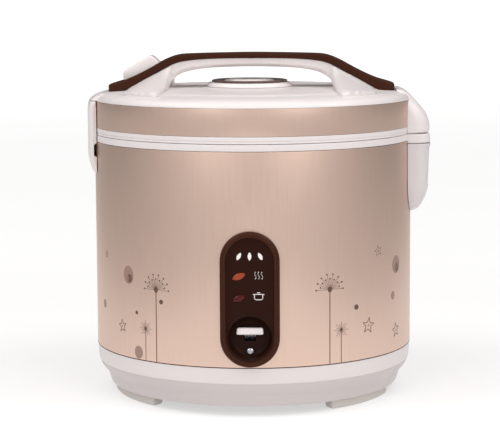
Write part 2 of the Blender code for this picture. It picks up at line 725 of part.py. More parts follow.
def hinge_cover():
    """White cover over the hinge, wrapped on the lid's side and notched for the lugs."""
    nose = [(SEAM_HIGH, 141.0), (SEAM_HIGH + 0.9, 143.0), (HINGE_Z, 144.0)]
    upper = [
        (223.0, 143.4), (229.0, 140.9), (233.6, 137.3), (238.0, 133.8), (242.0, 130.4),
        (244.6, 127.9), (246.6, 124.8), (248.0, 121.4),
    ]
    stations = []
    for z, x in nose + upper:
        taper = max(0.0, (z - 223.0) / 25.0)
        stations.append((z, x, BULGE_HALF - 5.0 * taper * taper))
    cover = bulge_loft("hinge_cover", stations, WHITE)
    cut(cover, lid_envelope("cover_envelope"))
    reach = HINGE_NOSE + 0.4
    for side in (-1, 1):
        low, high = sorted((side * (LUG_Y[0] - 0.4), side * (LUG_Y[1] + 0.4)))
        corner = (HINGE_X - reach, low, 200.0), (160.0, high, HINGE_Z + reach)
        cut(cover, box(f"lug_notch_{side}", *corner, None))
    bore = rod("cover_bore", (HINGE_X, -21, HINGE_Z), (HINGE_X, 21, HINGE_Z), PIN_R + 0.1, None, 16)
    cut(cover, bore)
    return cover


# ---------------------------------------------------------------- handle

STRIP_TOP = [
    (0, 277.9), (30, 277.5), (46, 277.1), (56, 276.7), (60, 276.2), (65, 274.9), (73, 271.5),
    (80, 267.6), (88, 263.3), (96, 259.4), (104, 256.1), (112, 253.7), (HANDLE_END, 252.4),
]
STRIP_UNDER = [
    (0, 273.6), (30, 273.3), (46, 272.4), (52, 271.7), (58.5, 270.6), (66.7, 267.6), (74.8, 263.3),
    (83, 259.0), (91, 254.6), (97, 251.1), (103, 247.7), (HANDLE_END, 247.2),
]
ARCH_UNDER = [(0, 266.7), (30, 265.9), (45, 264.3), (56, 261.6), (62, 258.2), (65.5, 254.2)]


def strip_half(x):
    """Half width of the grip, which flares towards the lid's edge."""
    if x <= FLARE_START:
        return GRIP_HALF
    part = (x - FLARE_START) / (HANDLE_END - FLARE_START)
    return GRIP_HALF + (FLARE_HALF - GRIP_HALF) * part * part * (3 - 2 * part)


def across(x, half_top, half_low, top, low, crown=0.8):
    """One upright section of the handle, across the grip."""
    edge = 1.5
    return [
        (x, -half_low, low), (x, half_low, low), (x, half_top, top - crown),
        (x, half_top - edge, top), (x, edge - half_top, top), (x, -half_top, top - crown),
    ]


def mirrored_sections(sections):
    """Sections for both halves, from the left end to the right one."""
    left = [[(HANDLE_X - x, y, z) for x, y, z in ring] for ring in reversed(sections[1:])]
    right = [[(HANDLE_X + x, y, z) for x, y, z in ring] for ring in sections]
    return left + right


def handle_cover():
    sections = []
    for x in (0, 30, 46, 52, 56, 60, 65, 69, 73, 77, 80, 84, 88, 92, 96, 100, 104, 108, 112, HANDLE_END):
        half = strip_half(x) - (1.0 if x == HANDLE_END else 0.0)
        sections.append(across(x, half, half, between(STRIP_TOP, x), between(STRIP_UNDER, x)))
    cover = loft("handle_cover", mirrored_sections(sections), BROWN)
    cut(cover, lid_envelope("strip_envelope", 0.4), button_pocket("cover_pocket"))
    return cover


def handle_body():
    """White arch under the grip, whose legs spread out to the lid's shoulder."""
    sections = []
    for x, low in ARCH_UNDER:
        half = strip_half(x) - 1.5
        sections.append(across(x, half, half - 1.0, between(STRIP_UNDER, x) - GAP, low, 0.4))
    for x in (LEG_INNER, 70, 72, 76, 80, 86, 91.5, LEG_OUTER):
        corner = math.sqrt(1 - max(0.0, (LEG_ROUND - x) / (LEG_ROUND - LEG_INNER + 2.0)) ** 2)
        base = math.sqrt(LEG_BASE_R ** 2 - x ** 2) * corner
        top = between(STRIP_UNDER, x) - GAP
        half = strip_half(x) - 1.5
        sections.append(across(x, half, base, top, 240.0, 0.4))
    body = loft("handle_body", mirrored_sections(sections), WHITE)
    cut(body, lid_envelope("leg_envelope"), button_pocket("body_pocket"))
    for side in (-1, 1):
        x = HANDLE_X + side * HANDLE_SCREW_X
        cut(body, rod(f"leg_screw_hole_{side}", (x, 0, 235), (x, 0, 255.4), 1.9, None, 12))
    return body


def slope_frame():
    """Middle of the release button on the grip's left slope, and the slope's angle."""
    slope = math.degrees(math.atan2(between(STRIP_TOP, 80) - between(STRIP_TOP, 96), 16))
    return (HANDLE_X - BUTTON_AT, 0, between(STRIP_TOP, BUTTON_AT)), slope


def button_pocket(name):
    place, slope = slope_frame()
    room, depth = 0.5, -8.3
    half = BUTTON_HALF + room
    low, high = BUTTON_FOOT[0] - 2 * room, BUTTON_FOOT[1] + room
    return box(name, (low, -half, depth), (high, half, 30), None, at=place, turn=(0, -slope, 0))


def release_button():
    place, slope = slope_frame()
    outline = [
        (BUTTON_FOOT[0], -3.0), (BUTTON_FOOT[1], -3.0), (15.6, 0.8), (14.0, 5.4), (12.6, 7.8), (10.4, 8.8),
        (4.0, 9.1), (-3.7, 8.9), (-10.6, 8.1), (-13.4, 7.0), (-15.4, 4.4), (-16.2, 1.0),
    ]
    button = slab("release_button", outline, -BUTTON_HALF, BUTTON_HALF, WHITE, "Y", bevel=1.2)
    button.location = [value * MM for value in (place[0] + AXIS_X, place[1], place[2])]
    button.rotation_euler = (0, math.radians(-slope), 0)
    hang([button], pivot("button_slide", *place))
    spring = coil("button_spring", (7.6, 3.2), 0.4, 3, -7.6, -6.6, STEEL, at=place, turn=(0, -slope, 0))
    return [button, spring]


def handle_screws():
    profile = [(0, 244.3), (3.6, 244.3), (3.6, 246.2), (1.6, 246.2), (1.6, 255.0), (0, 255.0)]
    places = (("handle_screw_left", -HANDLE_SCREW_X), ("handle_screw_right", HANDLE_SCREW_X))
    return [turned(name, profile, STEEL, at=(HANDLE_X + x, 0, 0), steps=12) for name, x in places]


# ---------------------------------------------------------------- latch

def wrap_outline(radius, span=CLIP_SPAN, corner=2.2):
    """Plan of a plate bent round the body's left side, square to the wall at both ends."""
    turn = math.degrees(corner / radius)
    outer = arc(0, 0, radius, 180 + span - turn, 180 - span + turn, 10)
    ends = []
    for side in (1, -1):
        angle = math.radians(180 + side * span)
        ends.append([(r * math.cos(angle), r * math.sin(angle)) for r in (radius - corner, 118.0)])
    return ends[0][::-1] + outer + ends[1]


def wrap_loft(name, stations, look):
    return loft(name, [[(x, y, z) for x, y in wrap_outline(radius)] for z, radius in stations], look)


def latch():
    """Clip on the lid's left side, its pin and bracket, and the catch on the body."""
    stations = [
        (181.6, 131.4), (183.2, 132.1), (186.0, 133.4), (189.5, 134.5), (195.0, 135.4), (205.0, CLIP_R),
        (232.0, CLIP_R), (236.0, 135.5), (238.2, 135.0), (CLIP_TOP, 134.3),
    ]
    clip = wrap_loft("latch_clip", stations, WHITE)
    room = 0.7
    clearance = [
        (0, 250), (BODY_R + 1.0, 250), (BODY_R + 1.0, CLIP_PIVOT_Z), (BODY_R + room, CLIP_PIVOT_Z - 1),
        (BODY_R + room, 206.0), (132.9, 205.0), (132.9, 196.0), (BODY_R + room, 195.0), (BODY_R + room, 175),
        (0, 175),
    ]
    cut(clip, turned("clip_clearance", clearance, None))
    low, high = CLIP_PIVOT_Z - 2.9, CLIP_PIVOT_Z + 2.9
    cut(clip, box("clip_pocket", (-134.7, -8.6, low), (-120, 8.6, high), None))
    axis = (CLIP_PIVOT_X, -18.0, CLIP_PIVOT_Z), (CLIP_PIVOT_X, 18.0, CLIP_PIVOT_Z)
    cut(clip, rod("clip_bore", *axis, CLIP_PIN_R + 0.1, None, 12))
    hang([clip], pivot("latch_hinge", CLIP_PIVOT_X, 0, CLIP_PIVOT_Z))
    pin_ends = (CLIP_PIVOT_X, -17.6, CLIP_PIVOT_Z), (CLIP_PIVOT_X, 17.6, CLIP_PIVOT_Z)
    pin = rod("latch_pin", *pin_ends, CLIP_PIN_R, STEEL, 12)
    bracket = box("latch_bracket", (-134.2, -8.0, low + 1.1), (-120.0, 8.0, high - 1.1), STEEL)
    cut(bracket, core("bracket_core", BODY_R + GAP, 200, 250))
    cut(bracket, rod("bracket_bore", *axis, CLIP_PIN_R + 0.05, None, 12))
    catch = box("latch_catch", (-131.5, -10.0, 197.5), (-120.0, 10.0, 201.5), WHITE)
    cut(catch, core("catch_core", BODY_R + GAP, 190, 210))
    return [clip, pin, bracket]


# ---------------------------------------------------------------- assembly

def fixed_parts():
    base_shell()
    bottom_plate()
    base_screws()
    for name, middle in (
        ("foot_front_left", 208.5), ("foot_front_right", 322.5),
        ("foot_rear_right", 28.5), ("foot_rear_left", 142.5),
    ):
        foot(name, middle)
    outer_shell()
    top_rim()
    hinge_pin()
    inner_drum()
    keep_warm_band()
    heating_plate()
    lever_bracket()
    electrics()
    control_panel()
    panel_trim()
    power_inlet()


def lid_parts():
    pieces = [lid_top(), hinge_cover(), handle_cover(), handle_body()]
    pieces += lid_rings() + lid_inside() + vent() + release_button() + handle_screws() + latch()
    axis = pivot("lid_hinge", HINGE_X, 0, HINGE_Z)
    loose = [ob for ob in pieces if ob.parent is None]
    hang(loose, axis)


fixed_parts()
sensor_parts()
plunger()
cook_lever()
inner_pot()
dew_collector()
lid_parts()
bpy.context.view_layer.update()
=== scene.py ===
"""Looks of a jar rice cooker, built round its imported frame.

Sizes are millimetres from the cooker's upright axis; place() turns them into world metres.
"""
import json
import math

import bmesh
import bpy
from mathutils import Matrix, Vector


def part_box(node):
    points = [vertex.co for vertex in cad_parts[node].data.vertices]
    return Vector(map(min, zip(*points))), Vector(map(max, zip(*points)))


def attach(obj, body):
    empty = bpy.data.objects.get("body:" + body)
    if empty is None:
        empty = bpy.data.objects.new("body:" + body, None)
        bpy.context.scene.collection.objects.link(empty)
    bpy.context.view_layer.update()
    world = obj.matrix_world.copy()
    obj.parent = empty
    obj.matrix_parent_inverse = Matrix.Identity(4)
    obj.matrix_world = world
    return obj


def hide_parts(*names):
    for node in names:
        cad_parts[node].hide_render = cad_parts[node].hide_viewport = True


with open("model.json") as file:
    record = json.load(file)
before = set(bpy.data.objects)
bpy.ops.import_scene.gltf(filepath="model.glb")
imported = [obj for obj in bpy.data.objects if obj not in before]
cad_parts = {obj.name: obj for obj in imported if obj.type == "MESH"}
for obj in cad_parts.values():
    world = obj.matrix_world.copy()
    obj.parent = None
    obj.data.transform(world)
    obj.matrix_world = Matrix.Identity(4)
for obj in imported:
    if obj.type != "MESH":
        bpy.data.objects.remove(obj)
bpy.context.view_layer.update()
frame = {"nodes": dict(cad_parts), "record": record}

MM = 0.001
SHELL_LOW, SHELL_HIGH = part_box("outer_shell")
AXIS_X = (SHELL_LOW[0] + SHELL_HIGH[0]) / 2 / MM
BODY_R = (SHELL_HIGH[0] - SHELL_LOW[0]) / 2 / MM
BODY_OF = {node: body for body, nodes in frame["record"]["behaviour"]["bodies"].items() for node in nodes}
ROUND = 160
GAP = 0.3

# Heights of the stack
BASE_TOP = 40.0
SHELL_TOP = 207.0
SEAM_LOW = 212.6
SEAM_HIGH = 213.0
BAND_LOW = 218.6
BAND_TOP = 239.8
LID_EDGE = 240.0
LID_CROWN = 250.0
VENT_TOP = 255.6
VENT_X = -2.4

# Lid hinge and latch
HINGE_X, HINGE_Z = 140.8, 216.3
CLIP_X, CLIP_Z, CLIP_TOP = -132.9, 236.0, 240.0

# Control panel
PANEL_LOW, PANEL_HIGH, PANEL_HALF = 41.0, 146.4, 23.0
PANEL_FACE = -132.8
BOWL_Z, BOWL_R, BOWL_BACK = 64.0, 17.8, -123.4
LENS_X, WARM_Z, COOK_Z, LENS_TILT = -8.3, 112.1, 95.1, 22.0
PANEL_SCREW_Z = 52.3

# Handle
HANDLE_X, HANDLE_END, HANDLE_SCREW_AT = -0.7, 116.3, 80
BUTTON_AT, BUTTON_Z = 89.5, 262.57
SLOPE_DROP, SLOPE_RUN = 267.6 - 259.4, 16


def place(x, y, z):
    return Vector(((x + AXIS_X) * MM, y * MM, z * MM))


def linear(red, green, blue):
    """Colour values from 0 to 255, as seen on a screen, turned into linear light."""
    values = [part / 255 for part in (red, green, blue)]
    return [v / 12.92 if v <= 0.04045 else ((v + 0.055) / 1.055) ** 2.4 for v in values]


# ---------------------------------------------------------------- materials

class Nodes:
    """A short way to add and join shader nodes."""

    def __init__(self, name):
        self.material = bpy.data.materials.new(name)
        self.material.use_nodes = True
        self.tree = self.material.node_tree
        self.shader = self.tree.nodes["Principled BSDF"]

    def add(self, kind, **settings):
        node = self.tree.nodes.new(kind)
        for key, value in settings.items():
            if hasattr(node, key):
                setattr(node, key, value)
            else:
                node.inputs[key.replace("_", " ").title()].default_value = value
        return node

    def link(self, source, target):
        self.tree.links.new(source, target)

    def feed(self, socket, source):
        self.link(source, self.shader.inputs[socket])

    def set(self, **values):
        """Fixed values on the shader's own sockets, with _ for a space in a name."""
        for key, value in values.items():
            self.shader.inputs[key.replace("_", " ")].default_value = value

    def place_by_object(self, scale):
        where = self.add("ShaderNodeTexCoord")
        stretch = self.add("ShaderNodeMapping")
        stretch.inputs["Scale"].default_value = scale
        self.link(where.outputs["Object"], stretch.inputs["Vector"])
        return stretch.outputs["Vector"]

    def noise(self, vector, scale, detail=3.0, roughness=0.5):
        texture = self.add("ShaderNodeTexNoise")
        texture.inputs["Scale"].default_value = scale
        texture.inputs["Detail"].default_value = detail
        texture.inputs["Roughness"].default_value = roughness
        self.link(vector, texture.inputs["Vector"])
        return texture.outputs["Fac"]

    def ramp(self, value, low, high, span=(0.3, 0.7)):
        between = self.add("ShaderNodeMapRange")
        between.inputs["From Min"].default_value = span[0]
        between.inputs["From Max"].default_value = span[1]
        between.inputs["To Min"].default_value = low
        between.inputs["To Max"].default_value = high
        self.link(value, between.inputs["Value"])
        return between.outputs["Result"]

    def math(self, operation, value, other=0.0):
        """A sum or other operation on a socket and a number or second socket."""
        step = self.add("ShaderNodeMath", operation=operation)
        self.link(value, step.inputs[0])
        if isinstance(other, float):
            step.inputs[1].default_value = other
        else:
            self.link(other, step.inputs[1])
        return step.outputs[0]

    def blend(self, value, first, second, span=(0.3, 0.7)):
        mixer = self.add("ShaderNodeMix", data_type="RGBA")
        self.link(self.ramp(value, 0.0, 1.0, span), mixer.inputs["Factor"])
        mixer.inputs[6].default_value = (*first, 1.0)
        mixer.inputs[7].default_value = (*second, 1.0)
        return mixer.outputs[2]

    def bump(self, value, strength, depth):
        relief = self.add("ShaderNodeBump")
        relief.inputs["Strength"].default_value = strength
        relief.inputs["Distance"].default_value = depth
        self.link(value, relief.inputs["Height"])
        self.feed("Normal", relief.outputs["Normal"])


def shade(colour, change):
    """The colour made lighter or darker."""
    return [min(1.0, part * change) for part in colour]


def moulded(name, colour, roughness=0.32, grain=0.10, coat=0.0, specular=0.5, grain_depth=0.00004):
    """Injection-moulded plastic: a fine skin, faint flow clouds and uneven gloss."""
    make = Nodes(name)
    vector = make.place_by_object((1, 1, 1))
    clouds = make.noise(vector, 14.0, 2.0)
    make.feed("Base Color", make.blend(clouds, shade(colour, 0.97), shade(colour, 1.02)))
    gloss = make.noise(vector, 55.0, 3.0)
    make.feed("Roughness", make.ramp(gloss, roughness - 0.04, roughness + 0.05))
    make.bump(make.noise(vector, 1900.0, 2.0), grain, grain_depth)
    make.set(Specular_IOR_Level=specular, Coat_Weight=coat, Coat_Roughness=0.12)
    return make


def moulded_with_painted_shade(name, upper, lower, level):
    """Moulded plastic in two tones, which change at a height in millimetres; the darker lower tone is painted
    shade.
    """
    make = moulded(name, upper, 0.36)
    where = make.add("ShaderNodeTexCoord")
    parts = make.add("ShaderNodeSeparateXYZ")
    make.link(where.outputs["Object"], parts.inputs[0])
    span = ((level - 0.4) * MM, (level + 0.4) * MM)
    # painted shade: the lower tone below the level darkens the part of the base that faces down
    make.feed("Base Color", make.blend(parts.outputs["Z"], lower, upper, span))
    return make


def brushed(name, colour, roughness, metallic, along, anisotropy=0.4, contrast=0.05, lines=2600.0):
    """Metal with hairlines: noise drawn out along one axis."""
    make = Nodes(name)
    vector = make.place_by_object(along)
    hairs = make.noise(vector, lines, 4.0, 0.65)
    soft = make.noise(make.place_by_object((1, 1, 1)), 9.0, 2.0)
    tint = make.blend(hairs, shade(colour, 1 - contrast), shade(colour, 1 + contrast), (0.25, 0.75))
    mixer = make.add("ShaderNodeMix", data_type="RGBA", blend_type="MULTIPLY")
    mixer.inputs["Factor"].default_value = 1.0
    make.link(tint, mixer.inputs[6])
    make.link(make.blend(soft, [0.96] * 3, [1.0] * 3), mixer.inputs[7])
    make.feed("Base Color", mixer.outputs[2])
    make.feed("Roughness", make.ramp(hairs, roughness - 0.05, roughness + 0.07))
    make.bump(hairs, 0.12, 0.00003)
    make.set(Metallic=metallic, Anisotropic=anisotropy)
    return make


def rubber(name, colour, roughness=0.7):
    return moulded(name, colour, roughness, grain=0.35, specular=0.35, grain_depth=0.00008)


def lens(name, colour, glow):
    """Tinted indicator lens with a ribbed back that shows through."""
    make = Nodes(name)
    vector = make.place_by_object((1, 0.1, 1))
    ribs = make.add("ShaderNodeTexWave", wave_type="BANDS", bands_direction="X")
    ribs.inputs["Scale"].default_value = 420.0
    ribs.inputs["Distortion"].default_value = 0.6
    make.link(vector, ribs.inputs["Vector"])
    tint = make.blend(ribs.outputs["Fac"], shade(colour, 0.85), shade(colour, 1.12), (0.1, 0.9))
    make.feed("Base Color", tint)
    make.feed("Emission Color", tint)
    make.feed("Roughness", make.ramp(ribs.outputs["Fac"], 0.12, 0.2))
    make.set(Emission_Strength=glow, Specular_IOR_Level=0.2, Coat_Weight=0.15, Coat_Roughness=0.05)
    return make


WHITE = moulded("white_plastic", linear(226, 219, 218), 0.36, coat=0.1).material
LINER = moulded("liner_plastic", linear(222, 216, 212), 0.42).material
# base plastic, partly a greyer plastic and partly painted shade; the tone below 27.2 mm is painted shade on
# the downward-facing part
SKIRT_PAINTED_SHADE = moulded_with_painted_shade("skirt_plastic_painted_shade", linear(216, 208, 207), linear(195, 186, 185), 27.2).material
BROWN = moulded("brown_plastic", linear(60, 31, 19), 0.42, specular=0.08).material
FACE = moulded("panel_face_plastic", linear(42, 20, 14), 0.36, specular=0.05).material
BOWL = moulded("bowl_plastic", linear(40, 20, 14), 0.42, specular=0.06).material
RING = moulded("vent_ring_plastic", linear(84, 62, 56), 0.28, coat=0.3).material
BLACK = moulded("black_plastic", linear(38, 37, 38), 0.45).material
CUP = moulded("cup_plastic", linear(226, 219, 220), 0.22, coat=0.3)
CUP.set(Subsurface_Weight=0.25, Subsurface_Radius=(0.004, 0.004, 0.004), Transmission_Weight=0.12)
CUP = CUP.material
CHAMPAGNE = brushed("champagne_metal", linear(222, 194, 179), 0.38, 0.86, (1, 1, 0.012)).material
ALUMINIUM = brushed("spun_aluminium", linear(205, 205, 208), 0.26, 1.0, (0.06, 0.06, 1)).material
CAST = brushed("cast_aluminium", linear(176, 176, 178), 0.48, 1.0, (1, 1, 1), 0.0, 0.1, 900.0).material
STEEL = brushed("plated_steel", linear(186, 186, 190), 0.28, 1.0, (1, 1, 0.2), 0.2).material
BRASS = brushed("brass", linear(214, 182, 112), 0.3, 1.0, (1, 0.2, 1), 0.2).material
RUBBER = rubber("grey_rubber", linear(196, 189, 184)).material
SEAL = rubber("seal_rubber", linear(206, 202, 200), 0.6).material
PLATE = rubber("bottom_plastic", linear(150, 146, 143), 0.6).material
ORANGE = lens("orange_lens", linear(150, 60, 34), 0.03).material
RED = lens("red_lens", linear(70, 4, 6), 0.0).material
LAMP = lens("lamp_glass", linear(235, 210, 180), 0.0).material
INK = moulded("printed_ink", linear(96, 68, 58), 0.4).material
PALE_INK = moulded("pale_printed_ink", linear(150, 120, 108), 0.4).material
MARK = moulded("panel_mark_ink", linear(236, 230, 226), 0.4).material


# ---------------------------------------------------------------- mesh helpers

def add_piece(name, bm, material, body, nodes=(), sharp=32):
    """Links a mesh as a piece that rides on a body and may stand for CAD nodes."""
    bmesh.ops.recalc_face_normals(bm, faces=bm.faces)
    mesh = bpy.data.meshes.new(name)
    bm.to_mesh(mesh)
    bm.free()
    piece = bpy.data.objects.new(name, mesh)
    bpy.context.scene.collection.objects.link(piece)
    if material:
        mesh.materials.append(material)
    smooth(mesh, sharp)
    if body:
        settle(piece, body, nodes)
    return piece


def smooth(mesh, sharp=32):
    mesh.shade_smooth()
    mesh.set_sharp_from_angle(angle=math.radians(sharp))


def settle(piece, body, nodes=()):
    nodes = [nodes] if isinstance(nodes, str) else list(nodes)
    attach(piece, body)
    if nodes:
        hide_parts(*nodes)


def baked_mesh(piece):
    bpy.context.view_layer.update()
    graph = bpy.context.evaluated_depsgraph_get()
    return bpy.data.meshes.new_from_object(piece.evaluated_get(graph))


def carve(piece, *tools, operation="DIFFERENCE", sharp=32):
    """Cuts (or joins) the tools and keeps the result as the piece's own mesh."""
    for cutter in tools:
        change = piece.modifiers.new("Carve", "BOOLEAN")
        change.operation = operation
        change.solver = "EXACT"
        change.object = cutter
        mesh = baked_mesh(piece)
        piece.modifiers.clear()
        piece.data = mesh
        bpy.data.objects.remove(cutter, do_unlink=True)
    smooth(piece.data, sharp)
    return piece


def soften_edges(piece, width, segments=2, angle=35):
    edge = piece.modifiers.new("Edge", "BEVEL")
    edge.width = width * MM
    edge.segments = segments
    edge.limit_method = "ANGLE"
    edge.angle_limit = math.radians(angle)
    edge.harden_normals = False
    mesh = baked_mesh(piece)
    piece.modifiers.clear()
    piece.data = mesh
    smooth(mesh, 40)
    return piece


def fillet(points, radius, steps=3, closed=True):
    """Rounds the corners of an outline; gentle turns are left as they are."""
    done = []
    count = len(points)
    for i, point in enumerate(points):
        here = Vector(point)
        before, after = Vector(points[i - 1]), Vector(points[(i + 1) % count])
        come, go = here - before, after - here
        on_axis = point[0] == 0
        if (not closed and i in (0, count - 1)) or on_axis or come.length == 0 or go.length == 0:
            done.append(tuple(point))
            continue
        turn = come.angle(go)
        if turn < math.radians(16):
            done.append(tuple(point))
            continue
        reach = min(radius * math.tan(turn / 2), 0.45 * come.length, 0.45 * go.length)
        start, end = here - come.normalized() * reach, here + go.normalized() * reach
        for k in range(steps + 1):
            t = k / steps
            spot = start * (1 - t) ** 2 + here * 2 * t * (1 - t) + end * t * t
            done.append(tuple(spot))
    return done


def lathe_mesh(profile, segments=ROUND, centre=(0, 0, 0), facing="Z"):
    """Spins an outline of (radius, height); facing Y stands it on the front of the body."""
    bm = bmesh.new()
    columns = []
    for k in range(segments):
        angle = 2 * math.pi * k / segments
        columns.append((math.cos(angle), math.sin(angle)))
    rows = []
    for radius, height in profile:
        row = []
        for c, s in columns if radius else columns[:1]:
            if facing == "Z":
                spot = place(centre[0] + radius * c, centre[1] + radius * s, centre[2] + height)
            else:
                spot = place(centre[0] + radius * c, centre[1] - height, centre[2] + radius * s)
            row.append(bm.verts.new(spot))
        rows.append(row)
    for first, second in zip(rows, rows[1:] + rows[:1]):
        if len(first) == 1 and len(second) == 1:
            continue
        for k in range(segments):
            j = (k + 1) % segments
            corners = [(first, k), (first, j), (second, j), (second, k)]
            unique = list(dict.fromkeys(row[n % len(row)] for row, n in corners))
            if len(unique) > 2:
                bm.faces.new(unique)
    return bm


def turned(name, profile, material, body=None, nodes=None, radius=0.4, segments=ROUND, slot=None, **where):
    outline = fillet(profile, radius)
    return add_piece(
        name, lathe_mesh(outline, segments, **where), material, body, name if nodes is None else nodes,
    )


def skin(bm, layers):
    """Joins each ring of vertices to the next with a band of faces."""
    count = len(layers[0])
    for first, second in zip(layers, layers[1:]):
        for i in range(count):
            j = (i + 1) % count
            bm.faces.new((first[i], first[j], second[j], second[i]))


def loft_mesh(rings):
    """A closed skin through rings with the same number of points."""
    bm = bmesh.new()
    layers = [[bm.verts.new(place(*point)) for point in ring] for ring in rings]
    skin(bm, layers)
    bm.faces.new(layers[0])
    bm.faces.new(layers[-1])
    return bm


def cube_mesh(low, high, spin=None):
    bm = bmesh.new()
    size = [(b - a) * MM for a, b in zip(low, high)]
    middle = place(*[(a + b) / 2 for a, b in zip(low, high)])
    shape = Matrix.Translation(middle) @ (spin or Matrix.Identity(4)) @ Matrix.Diagonal((*size, 1))
    bmesh.ops.create_cube(bm, size=1, matrix=shape)
    return bm


def rod_mesh(start, end, radius, segments=32):
    a, b = place(*start), place(*end)
    stand = Vector((0, 0, 1)).rotation_difference(b - a).to_matrix().to_4x4()
    bm = bmesh.new()
    bmesh.ops.create_cone(
        bm, cap_ends=True, segments=segments, radius1=radius * MM, radius2=radius * MM,
        depth=(b - a).length, matrix=Matrix.Translation((a + b) / 2) @ stand,
    )
    return bm


def tool(bm):
    return add_piece("tool", bm, None, None)


def arc(cx, cy, radius, start, end, steps):
    angles = [math.radians(start + (end - start) * i / steps) for i in range(steps + 1)]
    return [(cx + radius * math.cos(a), cy + radius * math.sin(a)) for a in angles]


def curve_through(table, x):
    """A smooth curve through (x, value) points: cubic pieces with matching slopes."""
    count = len(table)
    x = min(max(x, table[0][0]), table[-1][0])
    i = max(k for k in range(count - 1) if table[k][0] <= x or k == 0)
    (x0, v0), (x1, v1) = table[i], table[i + 1]

    def slope(k):
        if k == 0:
            return 0.0 if table[0][0] == 0 else (table[1][1] - table[0][1]) / (table[1][0] - table[0][0])
        if k == count - 1:
            return (table[-1][1] - table[-2][1]) / (table[-1][0] - table[-2][0])
        return (table[k + 1][1] - table[k - 1][1]) / (table[k + 1][0] - table[k - 1][0])

    span = x1 - x0
    t = (x - x0) / span
    a = (2 * t ** 3 - 3 * t ** 2 + 1) * v0 + (t ** 3 - 2 * t ** 2 + t) * span * slope(i)
    b = (-2 * t ** 3 + 3 * t ** 2) * v1 + (t ** 3 - t ** 2) * span * slope(i + 1)
    return a + b


def ease(low, high, value):
    """A smooth step from 0 at low to 1 at high."""
    t = min(1.0, max(0.0, (value - low) / (high - low)))
    return t * t * (3 - 2 * t)


# ---------------------------------------------------------------- body

def base():
    outside = [
        (129.7, BASE_TOP), (129.4, 34.0), (128.9, 27.6), (128.2, 26.9), (127.9, 25.2), (126.9, 22.9),
        (125.0, 20.4), (122.6, 17.9), (121.2, 15.4), (120.2, 12.0), (119.3, 9.0), (118.6, 7.6),
    ]
    inside = [(116.2, 7.6), (117.4, 12.4), (119.4, 18.6), (124.6, 26.0), (126.2, BASE_TOP)]
    turned("base_shell", outside + inside, SKIRT_PAINTED_SHADE, "cooker_body", radius=0.5)
    for name, middle in (
        ("foot_front_left", 208.5), ("foot_front_right", 322.5),
        ("foot_rear_right", 28.5), ("foot_rear_left", 142.5),
    ):
        foot(name, middle)


def foot_outline(middle, inset):
    """Plan of a foot: a bar bent along the base circle, with softened square ends."""
    inner, outer = 105.0 + inset, 115.4 - inset
    turn = math.degrees(inset / outer)
    first, last = middle - 19.0 + turn, middle + 19.0 - turn
    return fillet(arc(0, 0, outer, first, last, 16) + arc(0, 0, inner, last, first, 16), 1.8, 4)


def foot(name, middle):
    levels = [(9.7, 0.0), (2.6, 0.1), (1.3, 0.5), (0.5, 1.1), (0.0, 2.2)]
    rings = [[(x, y, z) for x, y in foot_outline(middle, inset)] for z, inset in levels]
    add_piece(name, loft_mesh(rings), RUBBER, "cooker_body", name)


def shell():
    inner = BODY_R - 0.9
    profile = [(BODY_R, SHELL_TOP), (BODY_R, BASE_TOP + GAP), (inner, BASE_TOP + GAP), (inner, SHELL_TOP)]
    wall = turned("outer_shell", profile, CHAMPAGNE, "cooker_body", radius=0.25)
    hole = [[(x, y, z) for x, z in stadium(43.5, 143.9, 20.8, 16)] for y in (-140, -100)]
    carve(wall, tool(loft_mesh(hole)), tool(cube_mesh((-18.5, 120, 51.5), (18.5, 140, 82.5))))
    for name, outer, inner, low, high in (
        ("seam_shadow_high", 129.4, 128.2, SHELL_TOP - 0.2, SHELL_TOP + 0.25),
        ("seam_shadow_low", 130.05, 126.4, BASE_TOP - 0.3, BASE_TOP + 0.6),
    ):
        bead = [(outer, high), (outer, low), (inner, low), (inner, high)]
        turned(name, bead, BROWN, "cooker_body", (), slot="brown_plastic")


def bulge_outline(outer_x, half, corner=12.0, steps=9):
    """Plan of the pieces on the right: square at the body, round at the outer corners."""
    root = 117.0
    radius = min(corner, outer_x - root - 0.5, half - 1)
    low = arc(outer_x - radius, -half + radius, radius, -90, 0, steps)
    high = arc(outer_x - radius, half - radius, radius, 0, 90, steps)
    return [(root, -half)] + low + high + [(root, half)]


def bulge_mesh(stations, steps=9):
    rings = []
    for z, outer, half in stations:
        rings.append([(x, y, z) for x, y in bulge_outline(outer, half, steps=steps)])
    return loft_mesh(rings)


def finer(stations, step=1.5):
    """Fills in stations of (height, outer x, half width) on smooth curves."""
    low, high = stations[0][0], stations[-1][0]
    count = max(2, int((high - low) / step))
    outer = [(z, x) for z, x, half in stations]
    width = [(z, half) for z, x, half in stations]
    levels = [low + (high - low) * i / count for i in range(count + 1)]
    return [(z, curve_through(outer, z), curve_through(width, z)) for z in levels]


def core(radius, low, high):
    return tool(lathe_mesh([(0, low), (radius, low), (radius, high), (0, high)]))


